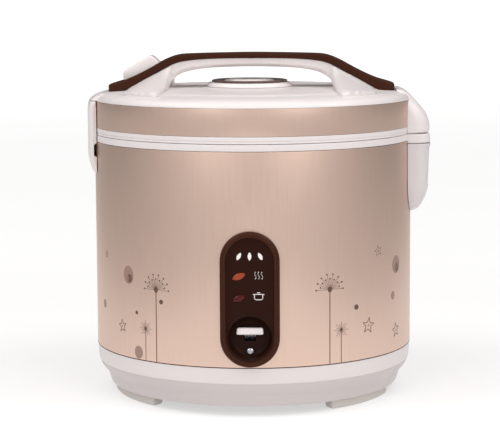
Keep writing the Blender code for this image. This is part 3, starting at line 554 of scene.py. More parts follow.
def top_rim():
    profile = [
        (BODY_R, SEAM_LOW), (BODY_R, SHELL_TOP + GAP), (124.5, SHELL_TOP + GAP), (124.5, 203.0),
        (116.6, 203.0), (116.6, 208.9), (120.8, 208.9), (120.8, SEAM_LOW),
    ]
    rim = turned("top_rim", profile, WHITE, "cooker_body", radius=0.5)
    bulge = tool(bulge_mesh([(205.2, 143.9, 34.4), (205.7, 144.5, 34.9), (208.0, 144.6, 35.0),
                             (211.9, 144.1, 35.0), (SEAM_LOW, 143.5, 34.5)]))
    carve(bulge, core(BODY_R - 1.7, 206.9, 230), core(BODY_R + GAP, 190, 207.2))
    carve(rim, bulge, operation="UNION")
    for side in (-1, 1):
        outline = [(HINGE_X - 2.5, 211.0), (HINGE_X + 2.5, 211.0)] + arc(HINGE_X, HINGE_Z, 2.5, 0, 180, 16)
        lug = tool(loft_mesh([[(x, side * y, z) for x, z in outline] for y in (17.0, 21.0)]))
        carve(rim, lug, operation="UNION")
    turned("hinge_pin", [(0, -20.8), (1.1, -20.8), (1.1, 20.8), (0, 20.8)], STEEL, "cooker_body",
           radius=0.3, segments=24, centre=(HINGE_X, 0, HINGE_Z), facing="Y")


def dew_collector():
    outer = [
        (148.6, 133.6, 20.5), (151.2, 136.6, 24.5), (155.4, 138.9, 28.0), (161.0, 141.2, 31.0),
        (167.5, 143.0, 32.9), (175.0, 144.2, 33.8), (191.3, 144.6, 34.4), (204.8, 144.8, 35.0),
    ]
    cup = add_piece("dew_collector", bulge_mesh(finer(outer)), CUP, "dew_collector", "dew_collector")
    grip = [(170.0, 150.0, 32.4), (171.5, 150.0, 32.8), (200.5, 150.0, 32.8), (202.0, 150.0, 32.4)]
    inner = [(z, curve_through([(a, b) for a, b, c in outer], z) - 0.8, half - 0.2) for z, x, half in grip]
    shallow = tool(bulge_mesh(grip, 12))
    spare = [(z + d, x, half + 2) for (z, x, half), d in zip(inner, (-5, 0, 0, 5))]
    carve(shallow, tool(bulge_mesh(spare, 12)))
    wall = 1.7
    inside = [(z, x - wall, half - wall) for z, x, half in finer(outer)[4:-1]] + [(215.0, 143.1, 33.3)]
    hollow = tool(bulge_mesh(inside))
    carve(hollow, core(BODY_R + 0.4 + wall, 100, 230))
    carve(cup, core(BODY_R + 0.4, 100, 230), hollow, shallow)


# ---------------------------------------------------------------- lid

LID_TOP_CURVE = [
    (0, LID_CROWN), (60, 249.7), (90, 249.1), (101, 248.75), (102.5, 248.55), (105, 247.75), (106.5, 247.6),
    (116, 247.0), (122, 246.1), (125.5, 244.95), (127.0, 244.3),
]
LID_BORE = 12.6


def lid_height(radius):
    return curve_through(LID_TOP_CURVE, radius)


def lid_outline():
    """The lid's outside from near its middle to its lower edge, on a smooth curve."""
    radii = (
        LID_BORE, 30, 50, 70, 85, 96, 100, 101.5, 102.5, 103.7, 105, 106.2, 109, 113, 117, 120.5,
        122.7, 124.8,
    )
    shoulder = [(126.4, 244.6), (127.7, 243.8), (128.7, 242.8), (129.4, 241.7), (129.85, 240.8)]
    return [(r, lid_height(r)) for r in radii] + shoulder + [(BODY_R, LID_EDGE)]


def lid_envelope(gap, low=200.0):
    outline = [(0, LID_CROWN + gap)] + [(r + (gap if r > 126 else 0), z + gap) for r, z in lid_outline()[1:]]
    return tool(lathe_mesh(outline + [(BODY_R + gap, low), (0, low)]))


def lid_shell():
    inside = [(127.6, LID_EDGE), (125.4, 242.2), (121.0, 243.9), (108, 246.0), (60, 247.3), (LID_BORE, 247.6)]
    top = turned("lid_top", lid_outline() + inside, WHITE, "lid", radius=0.15)
    hood = tool(wrap_mesh([
        (CLIP_TOP + 0.6, 133.9), (241.4, 133.3), (242.2, 132.5), (243.3, 131.0), (244.4, 129.2),
        (245.4, 126.8), (245.9, 125.2), (246.2, 123.4),
    ]))
    carve(hood, lid_envelope(-1.0))
    carve(top, hood, operation="UNION")
    for side in (-1, 1):
        x = HANDLE_X + side * HANDLE_SCREW_AT
        carve(top, tool(rod_mesh((x, 0, 235), (x, 0, 260), 2.2)))
    band = [(BODY_R, BAND_TOP), (BODY_R, BAND_LOW), (BODY_R - 0.9, BAND_LOW), (BODY_R - 0.9, BAND_TOP)]
    turned("lid_band", band, CHAMPAGNE, "lid", radius=0.2)
    ring = [
        (BODY_R, 218.4), (BODY_R, 215.2), (129.6, 214.9), (129.6, 214.5), (BODY_R, 214.2),
        (BODY_R, SEAM_HIGH), (121.4, SEAM_HIGH), (121.4, 218.4),
    ]
    turned("lid_ring", ring, WHITE, "lid", radius=0.25)
    bead = [(129.3, LID_EDGE), (129.3, BAND_TOP), (127.8, BAND_TOP), (127.8, LID_EDGE)]
    turned("seam_shadow_lid", bead, BROWN, "lid", (), radius=0.05, slot="brown_plastic")


def hinge_cover():
    stations = [
        (SEAM_HIGH, 141.0, 34.0), (213.4, 142.3, 34.6), (214.3, 143.3, 35.0), (HINGE_Z, 144.0, 35.0),
        (220.0, 143.85, 35.0), (223.0, 143.3, 35.0), (229.0, 140.9, 34.7), (233.6, 137.6, 34.1),
        (238.0, 133.8, 33.2), (242.0, 130.2, 32.1), (244.6, 127.7, 31.1), (246.6, 124.5, 30.0),
        (248.0, 121.0, 28.6),
    ]
    cover = add_piece("hinge_cover", bulge_mesh(finer(stations, 0.9)), WHITE, "lid", "hinge_cover")
    carve(cover, lid_envelope(0.15))
    reach = 3.6
    for side in (-1, 1):
        low, high = sorted((side * 16.6, side * 21.4))
        notch = cube_mesh((HINGE_X - reach, low, 200.0), (160.0, high, HINGE_Z + reach))
        carve(cover, tool(notch))
    carve(cover, tool(rod_mesh((HINGE_X, -21, HINGE_Z), (HINGE_X, 21, HINGE_Z), 1.2)))


def vent():
    centre = (VENT_X, 0, 0)
    boss = [
        (31.4, 253.6), (33.0, 253.2), (34.3, 252.2), (35.2, 250.9), (35.4, 250.1),
        (15.2, 250.4), (15.2, 251.4), (22.4, 251.4), (22.4, 253.6),
    ]
    turned("vent_boss", boss, WHITE, "lid", radius=0.5, centre=centre)
    ring = [(29.4, VENT_TOP), (31.2, 255.1), (31.2, 253.9), (21.6, 253.9), (21.6, 254.9), (24.0, 255.3)]
    turned("vent_ring", ring, RING, "lid", radius=0.4, centre=centre)
    cap = [
        (0, 256.0), (8.0, 256.0), (14.5, 256.2), (16.4, 256.3), (18.0, 255.9), (20.7, 255.1),
        (21.0, 254.4), (21.0, 251.7), (19.6, 251.7), (19.6, 254.0), (0, 254.6),
    ]
    lift = turned("vent_cap", cap, WHITE, "vent_cap", radius=0.3, segments=120, centre=centre)
    for i in range(6):
        turn = math.radians(60 * i + 30)
        x, y = VENT_X + 11.0 * math.cos(turn), 11.0 * math.sin(turn)
        slot = cube_mesh((x - 3.2, y - 0.9, 245), (x + 3.2, y + 0.9, 262), Matrix.Rotation(turn, 4, "Z"))
        carve(lift, tool(slot))


# ---------------------------------------------------------------- handle

STRIP_TOP = [
    (0, 277.9), (30, 277.5), (46, 277.1), (56, 276.7), (60, 276.2), (65, 274.9), (73, 271.5),
    (80, 267.6), (88, 263.3), (96, 259.4), (104, 256.1), (112, 253.7), (HANDLE_END, 252.4),
]
STRIP_UNDER = [
    (0, 273.6), (30, 273.3), (46, 272.4), (52, 271.7), (58.5, 270.6), (66.7, 267.6), (74.8, 263.3),
    (83, 259.0), (91, 254.6), (97, 251.1), (103, 247.7), (104.5, 247.4), (HANDLE_END, 247.2),
]
LEG_ROUND, LEG_FACE, LEG_INNER, LEG_FOOT_R = 74.0, 67.5, 65.5, 119.0
ARCH_UNDER = [
    (0, 266.7), (30, 265.9), (45, 264.3), (56, 261.6), (62, 258.2), (65.5, 254.2), (67.0, 250.4),
    (LEG_FACE, 246.0),
]


def strip_half(x):
    """Half width of the grip, which flares towards the lid's edge and has round corners."""
    half = 17.0 + 6.0 * ease(62.0, HANDLE_END, x)
    corner = 4.0
    over = max(0.0, x - (HANDLE_END - corner))
    return half - (corner - math.sqrt(max(0.0, corner ** 2 - over ** 2)))


def strip_section(x):
    """Upright section across the grip: a crowned top, rounded edges and a flat underside."""
    half, top, under = strip_half(x), curve_through(STRIP_TOP, x), curve_through(STRIP_UNDER, x)
    edge = min(1.1, (top - under) / 2.2)
    crown = 0.35
    points = [(-half + 0.5, under), (half - 0.5, under), (half, under + 0.5)]
    points += arc(half - edge, top - crown - edge, edge, 0, 80, 5)
    for i in range(1, 8):
        part = 1 - 2 * i / 8
        points.append(((half - edge) * part, top - crown * part * part))
    points += [(-y, z) for y, z in arc(half - edge, top - crown - edge, edge, 0, 80, 5)[::-1]]
    points.append((-half, under + 0.5))
    return points


def stations_along(end, step=2.2):
    count = int(end / step)
    half = [end * i / count for i in range(count + 1)]
    return [-x for x in half[:0:-1]] + half


def slope_frame():
    """Middle of the release button on the left slope of the grip, and the slope's angle."""
    slope = math.degrees(math.atan2(SLOPE_DROP, SLOPE_RUN))
    return place(HANDLE_X - BUTTON_AT, 0, BUTTON_Z), slope


def on_slope(bm):
    """Turns a mesh drawn about the origin, in millimetres, onto the button's place."""
    middle, slope = slope_frame()
    turn = Matrix.Translation(middle) @ Matrix.Rotation(math.radians(-slope), 4, "Y") @ Matrix.Scale(MM, 4)
    bmesh.ops.transform(bm, matrix=turn, verts=bm.verts)
    return bm


def pocket():
    bm = bmesh.new()
    shape = Matrix.Translation((0.0, 0, 10.85)) @ Matrix.Diagonal((33.8, 23.0, 38.3, 1))
    bmesh.ops.create_cube(bm, size=1, matrix=shape)
    return tool(on_slope(bm))


def grip():
    rings = []
    for x in stations_along(HANDLE_END - 0.01, 1.8):
        rings.append([(HANDLE_X + x, y, z) for y, z in strip_section(abs(x))])
    strip = add_piece("handle_cover", loft_mesh(rings), BROWN, "lid", "handle_cover")
    carve(strip, pocket())


def leg_section(x):
    """Section of the white saddle: narrow under the grip, spreading down to the lid."""
    top = curve_through(STRIP_UNDER, x) - 0.15
    low = curve_through(ARCH_UNDER, x) if x < LEG_FACE else 243.0
    lid_top = lid_height(min(x, 124.0))
    half = strip_half(x) - 1.4
    corner = math.sqrt(1 - min(1.0, max(0.0, (LEG_ROUND - x) / (LEG_ROUND - LEG_INNER))) ** 2)
    base_half = half + (math.sqrt(LEG_FOOT_R ** 2 - max(x, 66.0) ** 2) - half) * corner
    under_grip = 1 - ease(58.0, 66.0, x)
    side = []
    steps = 12
    for i in range(steps + 1):
        part = i / steps
        z = top + (low - top) * part
        drop = max(0.0, (top - z) / max(top - lid_top, 1.0))
        flare = (base_half - half) * min(1.0, drop) ** 1.35
        round_off = under_grip * 2.6 * ease(0.55, 1.0, part) ** 2
        side.append((half + flare - round_off, z))
    return side + [(-y, z) for y, z in side[::-1]]


def saddle():
    rings = []
    places = [x for x in stations_along(99.6, 1.5) if not 64.2 < abs(x) < 74.2]
    knee = [64.6 + 0.6 * i for i in range(17)]
    for x in sorted(places + knee + [-x for x in knee]):
        rings.append([(HANDLE_X + x, y, z) for y, z in leg_section(abs(x))])
    body = add_piece("handle_body", loft_mesh(rings), WHITE, "lid", "handle_body")
    carve(body, lid_envelope(0.02), pocket(), sharp=60)
    for side in (-1, 1):
        x = HANDLE_X + side * HANDLE_SCREW_AT
        carve(body, tool(rod_mesh((x, 0, 235), (x, 0, 255.4), 1.9)), sharp=60)


def release_button():
    outline = [
        (-15.9, -3.0), (16.4, -3.0), (16.2, -0.6), (15.4, 2.2), (14.2, 5.6), (13.0, 7.8),
        (11.2, 8.8), (8.0, 9.1), (4.0, 9.1), (-3.7, 8.9), (-9.0, 8.4), (-12.2, 7.5),
        (-14.2, 6.1), (-15.5, 4.0), (-16.1, 1.4), (-16.1, -1.2),
    ]
    outline = fillet(outline, 1.0)
    bm = bmesh.new()
    layers = []
    for y, inset in ((-11.0, 1.4), (-10.5, 0.5), (-9.6, 0.0), (9.6, 0.0), (10.5, 0.5), (11.0, 1.4)):
        layer = []
        for u, v in outline:
            layer.append(bm.verts.new((u * (1 - inset / 16), y, v - inset if v > 0 else v)))
        layers.append(layer)
    skin(bm, layers)
    bm.faces.new(layers[0])
    bm.faces.new(layers[-1])
    add_piece("release_button", on_slope(bm), WHITE, "release_button", "release_button")


# ---------------------------------------------------------------- latch clip

def wrap_mesh(stations, span=15.8, corner=2.4):
    """A plate bent round the body's left side, through stations of (height, radius)."""
    rings = []
    for z, radius in stations:
        angles = [180 + span - 2 * span * i / 28 for i in range(29)]
        ring = []
        for angle in angles:
            arm = radius * math.radians(span - abs(180 - angle))
            over = max(0.0, corner - arm)
            reach = radius - corner + math.sqrt(max(0.0, corner ** 2 - over ** 2))
            turn = math.radians(angle)
            ring.append((reach * math.cos(turn), reach * math.sin(turn), z))
        for angle in (180 - span, 180 + span):
            turn = math.radians(angle)
            ring.append((118.0 * math.cos(turn), 118.0 * math.sin(turn), z))
        rings.append(ring)
    return loft_mesh(rings)


def latch_clip():
    stations = [
        (181.6, 131.3), (182.2, 131.8), (183.2, 132.3), (186.0, 133.4), (189.5, 134.5),
        (193.0, 135.2), (197.0, 135.6), (205.0, 135.7), (219.0, 135.7), (232.0, 135.7),
        (236.0, 135.5), (238.2, 135.0), (239.5, 134.5), (CLIP_TOP, 133.9),
    ]
    clip = add_piece("latch_clip", wrap_mesh(stations), WHITE, "latch_clip", "latch_clip")
    clearance = fillet([
        (0, 250), (131.0, 250), (131.0, CLIP_Z), (130.7, CLIP_Z - 1), (130.7, 206.0), (132.9, 205.0),
        (132.9, 196.0), (130.7, 195.0), (130.7, 175), (0, 175),
    ], 0.4)
    carve(clip, tool(lathe_mesh(clearance)))
    carve(clip, tool(cube_mesh((-134.7, -8.6, CLIP_Z - 2.9), (-120, 8.6, CLIP_Z + 2.9))))
    carve(clip, tool(rod_mesh((CLIP_X, -18, CLIP_Z), (CLIP_X, 18, CLIP_Z), 1.0, 16)))


# ---------------------------------------------------------------- control panel

def stadium(low, high, half, steps=24, cx=0.0):
    return arc(cx, high - half, half, 0, 180, steps) + arc(cx, low + half, half, 180, 360, steps)


def panel_ring(inset, y=None):
    """One outline of the panel; without a depth it follows the body's wall."""
    points = stadium(PANEL_LOW + inset, PANEL_HIGH - inset, PANEL_HALF - inset)
    return [(x, -math.sqrt((BODY_R + 0.05) ** 2 - x * x) if y is None else y, z) for x, z in points]


def control_panel():
    steps = [
        (4.5, -127.0), (2.4, -127.0), (2.4, None), (0.0, None), (0.0, -131.6), (0.25, -132.5), (0.9, -133.3),
        (1.9, -133.9), (2.9, -134.15), (3.6, -134.2), (4.1, -134.1), (4.4, -133.8), (4.5, -132.2),
        (4.5, -129.0),
    ]
    bm = bmesh.new()
    layers = [[bm.verts.new(place(*point)) for point in panel_ring(inset, y)] for inset, y in steps]
    skin(bm, layers + layers[:1])
    add_piece("control_panel", bm, BROWN, "cooker_body", "control_panel")
    face = add_piece("panel_face", loft_mesh([panel_ring(4.5, PANEL_FACE), panel_ring(4.5, -129.5)]),
                     FACE, "cooker_body", ())
    well = [(0, 140), (BOWL_R, 140), (BOWL_R, 125), (0, 125)]
    carve(face, tool(lathe_mesh(well, 96, centre=(0, 0, BOWL_Z), facing="Y")))
    for height in (WARM_Z, COOK_Z):
        outline = leaf_outline(LENS_X, height, 11.4, 5.3)
        carve(face, tool(loft_mesh([[(x, y, z) for x, z in outline] for y in (-140, -120)])))
    bowl = [
        (18.7, 132.85), (18.9, 133.0), (18.4, 133.35), (17.6, 133.2), (17.0, 132.4),
        (16.6, 130.8), (16.0, 127.0), (14.8, 124.8), (12.6, 123.6), (0, 123.4), (0, 122.2),
        (13.0, 122.3), (16.0, 123.8), (17.6, 127.2), (17.7, 132.0),
    ]
    dish = turned("panel_bowl", bowl, BOWL, "cooker_body", (), slot="brown_plastic", radius=0.3,
                  segments=96, centre=(0, 0, BOWL_Z), facing="Y")
    carve(dish, tool(cube_mesh((-4.4, -130, 60.0), (4.4, -115, 71.4))))


def leaf_outline(cx, cz, length, width, tilt=LENS_TILT, steps=14):
    """A pointed oval: two arcs that meet at the tips, turned by tilt degrees."""
    half, rise = length / 2, width / 2
    radius = (half * half + rise * rise) / (2 * rise)
    reach = math.degrees(math.asin(half / radius))
    upper = arc(0, rise - radius, radius, 90 - reach, 90 + reach, steps)
    lower = [(-u, -v) for u, v in upper]
    c, s = math.cos(math.radians(tilt)), math.sin(math.radians(tilt))
    return [(cx + u * c - v * s, cz + u * s + v * c) for u, v in upper[:-1] + lower[:-1]]


def lenses():
    dome = ((1.0, -126.2), (1.0, -132.9), (0.95, -133.15), (0.8, -133.35), (0.5, -133.5), (0.1, -133.55))
    for name, height, material in (("warm_lens", WARM_Z, ORANGE), ("cook_lens", COOK_Z, RED)):
        rings = []
        for shrink, y in dome:
            outline = leaf_outline(LENS_X, height, 11.0 * shrink, 5.0 * shrink)
            rings.append([(x, y, z) for x, z in outline])
        add_piece(name, loft_mesh(rings), material, "cooker_body", name)


def lever():
    """Paddle with soft corners, and the steel arm and bar behind it."""
    stretch = [(-128.2, 0.0), (-130.0, 0.0), (-130.6, 0.25), (-131.0, 0.8)]
    rings = []
    for y, inset in stretch:
        outline = fillet([
            (10.6 - inset, 66.4 + inset), (9.9 - inset, 71.8 - inset), (-9.9 + inset, 71.8 - inset),
            (-10.6 + inset, 66.4 + inset),
        ], 1.5, 5)
        rings.append([(x, y, z) for x, z in outline])
    add_piece("lever_paddle", loft_mesh(rings), WHITE, "cook_lever", "cook_lever")
    upright = cube_mesh((-3.5, -118.2, 24.3), (3.5, -116.2, 70.5))
    arm = add_piece("lever_arm", upright, STEEL, "cook_lever", ())
    carve(arm, tool(cube_mesh((-3.6, -128.4, 67.4), (3.6, -117.0, 70.6))), operation="UNION")
    carve(arm, tool(cube_mesh((-3.4, -117.6, 24.2), (3.4, 3.4, 26.8))), operation="UNION")
    carve(arm, tool(rod_mesh((-8, -45, 25.5), (8, -45, 25.5), 2.0)), operation="UNION")
    soften_edges(arm, 0.3)


def cross_screw(name, centre, radius, depth, height, facing, body="cooker_body"):
    """Pan-head screw with a cross recess."""
    head = [
        (0, height), (radius * 0.55, height - 0.05), (radius * 0.85, height - 0.45), (radius, height * 0.45),
        (radius, 0), (radius * 0.45, 0), (radius * 0.45, -depth), (0, -depth),
    ]
    screw = turned(name, head, STEEL, body, radius=0.25, segments=40, centre=centre, facing=facing)
    arm, slot = radius * 0.62, radius * 0.13
    for a, b in ((arm, slot), (slot, arm)):
        low, high = (-a, -4.0, -b), (a, -height * 0.45, b)
        move = [c + v for c, v in zip(centre, low)], [c + v for c, v in zip(centre, high)]
        carve(screw, tool(cube_mesh(*move)))


def panel_marks():
    """Plain pictures beside the lenses: rising warmth, a pot, and three grains."""
    bm = bmesh.new()
    for k in range(3):
        for i in range(10):
            t0, t1 = i / 10, (i + 1) / 10
            x = 4.4 + 2.5 * k
            wave = [(x + 0.55 * math.sin(2 * math.pi * t), WARM_Z - 1.8 + 5.2 * t) for t in (t0, t1)]
            add_stroke(bm, wave, 0.55)
    sides = [(3.6, 3.2), (3.6, 0), (4.4, -0.9), (9.2, -0.9), (10.0, 0), (10.0, 3.2)]
    for line in (sides, [(2.6, 3.2), (11.0, 3.2)], [(5.8, 4.4), (7.8, 4.4)]):
        add_stroke(bm, [(x, COOK_Z + z) for x, z in line], 0.55)
    for k, tilt in ((-1, 62), (0, 90), (1, 118)):
        grain = leaf_outline(8.2 * k, 127.6, 6.4, 2.9, tilt, 8)
        front = [bm.verts.new(place(x, PANEL_FACE - 0.12, z)) for x, z in grain]
        bm.faces.new(front)
    thicken(bm, 0.1, (0, 1, 0))
    add_piece("panel_marks", bm, MARK, "cooker_body", ())


def add_stroke(bm, line, width):
    """A flat drawn line on the panel face, with square joins."""
    for (x0, z0), (x1, z1) in zip(line, line[1:]):
        along = Vector((x1 - x0, z1 - z0)).normalized()
        side = Vector((-along.y, along.x)) * width / 2
        grow = along * width / 3
        corners = [
            (x0 - grow.x + side.x, z0 - grow.y + side.y), (x1 + grow.x + side.x, z1 + grow.y + side.y),
            (x1 + grow.x - side.x, z1 + grow.y - side.y), (x0 - grow.x - side.x, z0 - grow.y - side.y),
        ]
        bm.faces.new([bm.verts.new(place(x, PANEL_FACE - 0.12, z)) for x, z in corners])


def thicken(bm, depth, direction):
    """Gives flat faces a back and sides."""
    made = bmesh.ops.extrude_face_region(bm, geom=list(bm.faces), use_keep_orig=True)
    moved = [item for item in made["geom"] if isinstance(item, bmesh.types.BMVert)]
    bmesh.ops.translate(bm, verts=moved, vec=Vector(direction) * depth * MM)


# ---------------------------------------------------------------- printed motif

def on_wall(around, height, lift=0.05):
    """A point on the body's wall, at a distance round it from the front and a height."""
    angle = around / BODY_R
    radius = BODY_R + lift
    return place(radius * math.sin(angle), -radius * math.cos(angle), height)


def print_patch(bm, outline, centre):
    """A printed shape with an inner ring, so that it follows the round wall."""
    rings = []
    for part in (1.0, 0.66, 0.33):
        ring = [(centre[0] + (u - centre[0]) * part, centre[1] + (v - centre[1]) * part) for u, v in outline]
        rings.append([bm.verts.new(on_wall(u, v)) for u, v in ring])
    middle = bm.verts.new(on_wall(*centre))
    skin(bm, rings)
    last = rings[-1]
    for here, following in zip(last, last[1:] + last[:1]):
        bm.faces.new((here, following, middle))


def print_line(bm, start, end, width):
    steps = max(1, int(math.hypot(end[0] - start[0], end[1] - start[1]) / 2.5))
    along = Vector((end[0] - start[0], end[1] - start[1])).normalized()
    side = Vector((-along.y, along.x)) * width / 2
    last = None
    for i in range(steps + 1):
        u = start[0] + (end[0] - start[0]) * i / steps
        v = start[1] + (end[1] - start[1]) * i / steps
        pair = (bm.verts.new(on_wall(u + side.x, v + side.y)), bm.verts.new(on_wall(u - side.x, v - side.y)))
        if last:
            bm.faces.new((last[0], last[1], pair[1], pair[0]))
        last = pair


def print_oval(bm, u, v, half_u, half_v, steps=24):
    turns = [2 * math.pi * i / steps for i in range(steps)]
    print_patch(bm, [(u + half_u * math.cos(a), v + half_v * math.sin(a)) for a in turns], (u, v))


def print_star(bm, u, v, size, turn):
    """The outline of a five-pointed star, in short strokes."""
    points = []
    for i in range(10):
        reach = size if i % 2 == 0 else size * 0.42
        angle = math.radians(90 + 36 * i + turn)
        points.append((u + reach * math.cos(angle), v + reach * math.sin(angle)))
    for a, b in zip(points, points[1:] + points[:1]):
        print_line(bm, a, b, 0.55)


def seed_head(bm, u, v, size, first, last, rays, dot):
    """Rays that end in dots, in two rows, round a dark heart."""
    for i in range(rays):
        angle = math.radians(first + (last - first) * i / (rays - 1))
        reach = size * (1.0 if i % 2 == 0 else 0.7)
        tip = (u + reach * math.cos(angle), v + reach * math.sin(angle))
        print_line(bm, (u, v), tip, 0.28)
        print_oval(bm, *tip, dot, dot, 8)


def printed_motif():
    dark, pale = bmesh.new(), bmesh.new()
    left = ((-78.3, 97.7, 39.8), (-89.5, 65.9, 40.6))
    right = ((64.2, 99.0, 40.6), (74.6, 66.4, 40.6))
    for big, small in (left, right):
        seed_head(dark, big[0], big[1], 12.0, 0, 180, 15, 0.75)
        print_oval(dark, big[0], big[1], 1.9, 2.3, 16)
        print_line(dark, (big[0], big[1]), (big[0], 40.6), 0.75)
        seed_head(dark, small[0], small[1], 6.2, 0, 337.5, 16, 0.3)
        print_oval(dark, small[0], small[1], 1.2, 1.4, 12)
        print_line(dark, (small[0], small[1]), (small[0], 40.6), 0.6)
    for u, v, r in ((-73.4, 88.5, 1.9), (-99.4, 77.5, 1.5), (89.4, 82.8, 2.2)):
        print_oval(dark, u, v, r, r, 14)
    for u, v, a, b in ((-109.3, 106.4, 6.2, 7.2), (-97.6, 45.9, 4.6, 5.2), (142.0, 110.5, 6.6, 7.2),
                       (136.2, 86.1, 3.0, 3.4), (-150.4, 77.7, 3.2, 3.6)):
        print_oval(pale, u, v, a, b)
    for u, v in ((-107.6, 103.9), (143.0, 108.0)):
        print_oval(dark, u, v, 2.9, 3.4)
    for u, v, size, turn in ((-118.1, 64.3, 5.4, 8), (102.6, 66.6, 6.6, -8), (141.9, 57.2, 6.0, 6),
                             (114.3, 124.6, 4.6, 12), (-144.0, 119.0, 3.6, 0)):
        print_star(dark if size > 5 else pale, u, v, size, turn)
        print_oval(pale, u, v, 0.8, 0.8, 8)
    for name, bm, material in (("motif_dark", dark, INK), ("motif_pale", pale, PALE_INK)):
        add_piece(name, bm, material, "cooker_body", ())


# ---------------------------------------------------------------- inlet, pot and the inside

def pot():
    radius, wall, floor, corner = 111.8, 1.6, 62.6, 28.0
    inner = radius - wall
    cx, cz = radius - corner, floor + corner
    profile = [(0, floor)] + arc(cx, cz, corner, -90, 0, 12)
    profile += [(radius, 207.6), (113.2, 209.2), (119.4, 209.2), (119.8, 210.3), (119.4, 211.4)]
    profile += [(112.0, 211.4)]
    profile += [(inner, 209.0)] + arc(cx, cz, corner - wall, 0, -90, 12) + [(0, floor + wall)]
    turned("inner_pot", profile, ALUMINIUM, "inner_pot", radius=0.5)
    marks = bmesh.new()
    reach = inner - 0.12
    for k in range(10):
        z = 100 + 9.5 * k
        width = 7.0 if k % 2 else 11.0
        for middle in (math.radians(90), math.radians(270)):
            row = []
            for side, dz in ((-1, -0.35), (-1, 0.35), (1, 0.35), (1, -0.35)):
                turn = middle + side * width / 2 / inner
                row.append(marks.verts.new(place(reach * math.cos(turn), reach * math.sin(turn), z + dz)))
            marks.faces.new(row)
    add_piece("pot_level_marks", marks, BLACK, "inner_pot", ())


INSIDE = {
    "inner_drum": ([
        (121.0, 202.6), (121.0, 201.8), (115.4, 201.8), (115.4, 54), (112.0, 48.4), (106.0, 46.0),
        (30.0, 46.0), (30.0, 46.8), (105.8, 46.8), (111.4, 49.2), (114.6, 54.3), (114.6, 202.6),
    ], ALUMINIUM, 0.3),
    "keep_warm_band": ([(117.4, 152), (117.4, 118), (115.8, 118), (115.8, 152)], SEAL, 0.3),
    "heating_plate": ([
        (18.0, 62.2), (88.0, 62.2), (90.0, 60.6), (90.0, 56.0), (74.0, 54.0), (70.0, 47.2),
        (60.0, 47.2), (56.0, 54.0), (18.0, 55.0),
    ], CAST, 0.8),
    "thermostat_housing": ([
        (26.0, 45.7), (26.0, 44.5), (14.0, 44.5), (14.0, 30.4), (3.6, 30.4), (3.6, 31.6),
        (12.8, 31.6), (12.8, 45.7),
    ], STEEL, 0.4),
    "sensor_cap": ([
        (0, 62.3), (15.2, 62.3), (16.4, 61.2), (16.4, 53.0), (15.2, 53.0), (15.2, 60.4), (0, 60.4),
    ], ALUMINIUM, 0.3),
    "magnet_plunger": ([
        (0, 46.0), (6.0, 46.0), (6.0, 36.0), (2.9, 36.0), (2.9, 27.4), (0, 27.4),
    ], STEEL, 0.4),
    "lid_liner": ([
        (120.6, 219.0), (120.6, 216.2), (108.0, 216.2), (103.0, 221.0), (14.0, 221.0), (14.0, 223.0),
        (104.0, 223.0), (109.0, 219.0),
    ], LINER, 0.5),
    "lid_seal": ([
        (118.8, 215.8), (118.8, 211.8), (111.0, 211.8), (111.0, 213.0), (114.3, 213.0),
        (114.3, 214.8), (111.0, 214.8), (111.0, 215.8),
    ], SEAL, 0.5),
    "steam_tube": ([(12.1, 251.0), (12.1, 217.0), (10.2, 217.0), (10.2, 251.0)], LINER, 0.3),
    "inner_lid_grommet": ([
        (15.0, 207.7), (15.0, 205.5), (7.0, 205.5), (7.0, 216.7), (10.9, 216.7), (13.5, 211.5),
        (13.5, 209.5), (10.9, 209.5), (10.9, 207.7),
    ], SEAL, 0.7),
}


def inside():
    for name, (profile, material, radius) in INSIDE.items():
        turned(name, profile, material, BODY_OF[name], radius=radius, segments=128)
    plate = [
        (113.9, 214.5), (113.9, 213.3), (104.0, 213.3), (98.0, 208.0), (11.2, 208.0), (11.2, 209.2),
        (97.5, 209.2), (103.5, 214.5),
    ]
    cover = turned("inner_lid", plate, ALUMINIUM, "lid", radius=1.2, segments=128)
    for i in range(6):
        angle = math.radians(60 * i + 33)
        x, y = 60 * math.cos(angle), 60 * math.sin(angle)
        carve(cover, tool(rod_mesh((x, y, 200), (x, y, 215), 2.5, 24)))


CAD_LOOKS = {
    BLACK: ("power_inlet", "micro_switch"),
    BRASS: ("inlet_pin_1", "inlet_pin_2", "inlet_pin_3", "thermal_fuse"),
    STEEL: ("base_screw_1", "base_screw_2", "base_screw_3", "base_screw_4", "sensor_spring", "lever_bracket",
            "button_spring", "handle_screw_left", "handle_screw_right", "latch_pin", "latch_bracket"),
    PLATE: ("bottom_plate",),
    WHITE: ("latch_catch",),
    LINER: ("terminal_block",),
    LAMP: ("warm_lamp", "cook_lamp"),
}


def dress_frame():
    for material, names in CAD_LOOKS.items():
        for name in names:
            node = frame["nodes"][name]
            node.data.materials.clear()
            node.data.materials.append(material)


# ---------------------------------------------------------------- studio

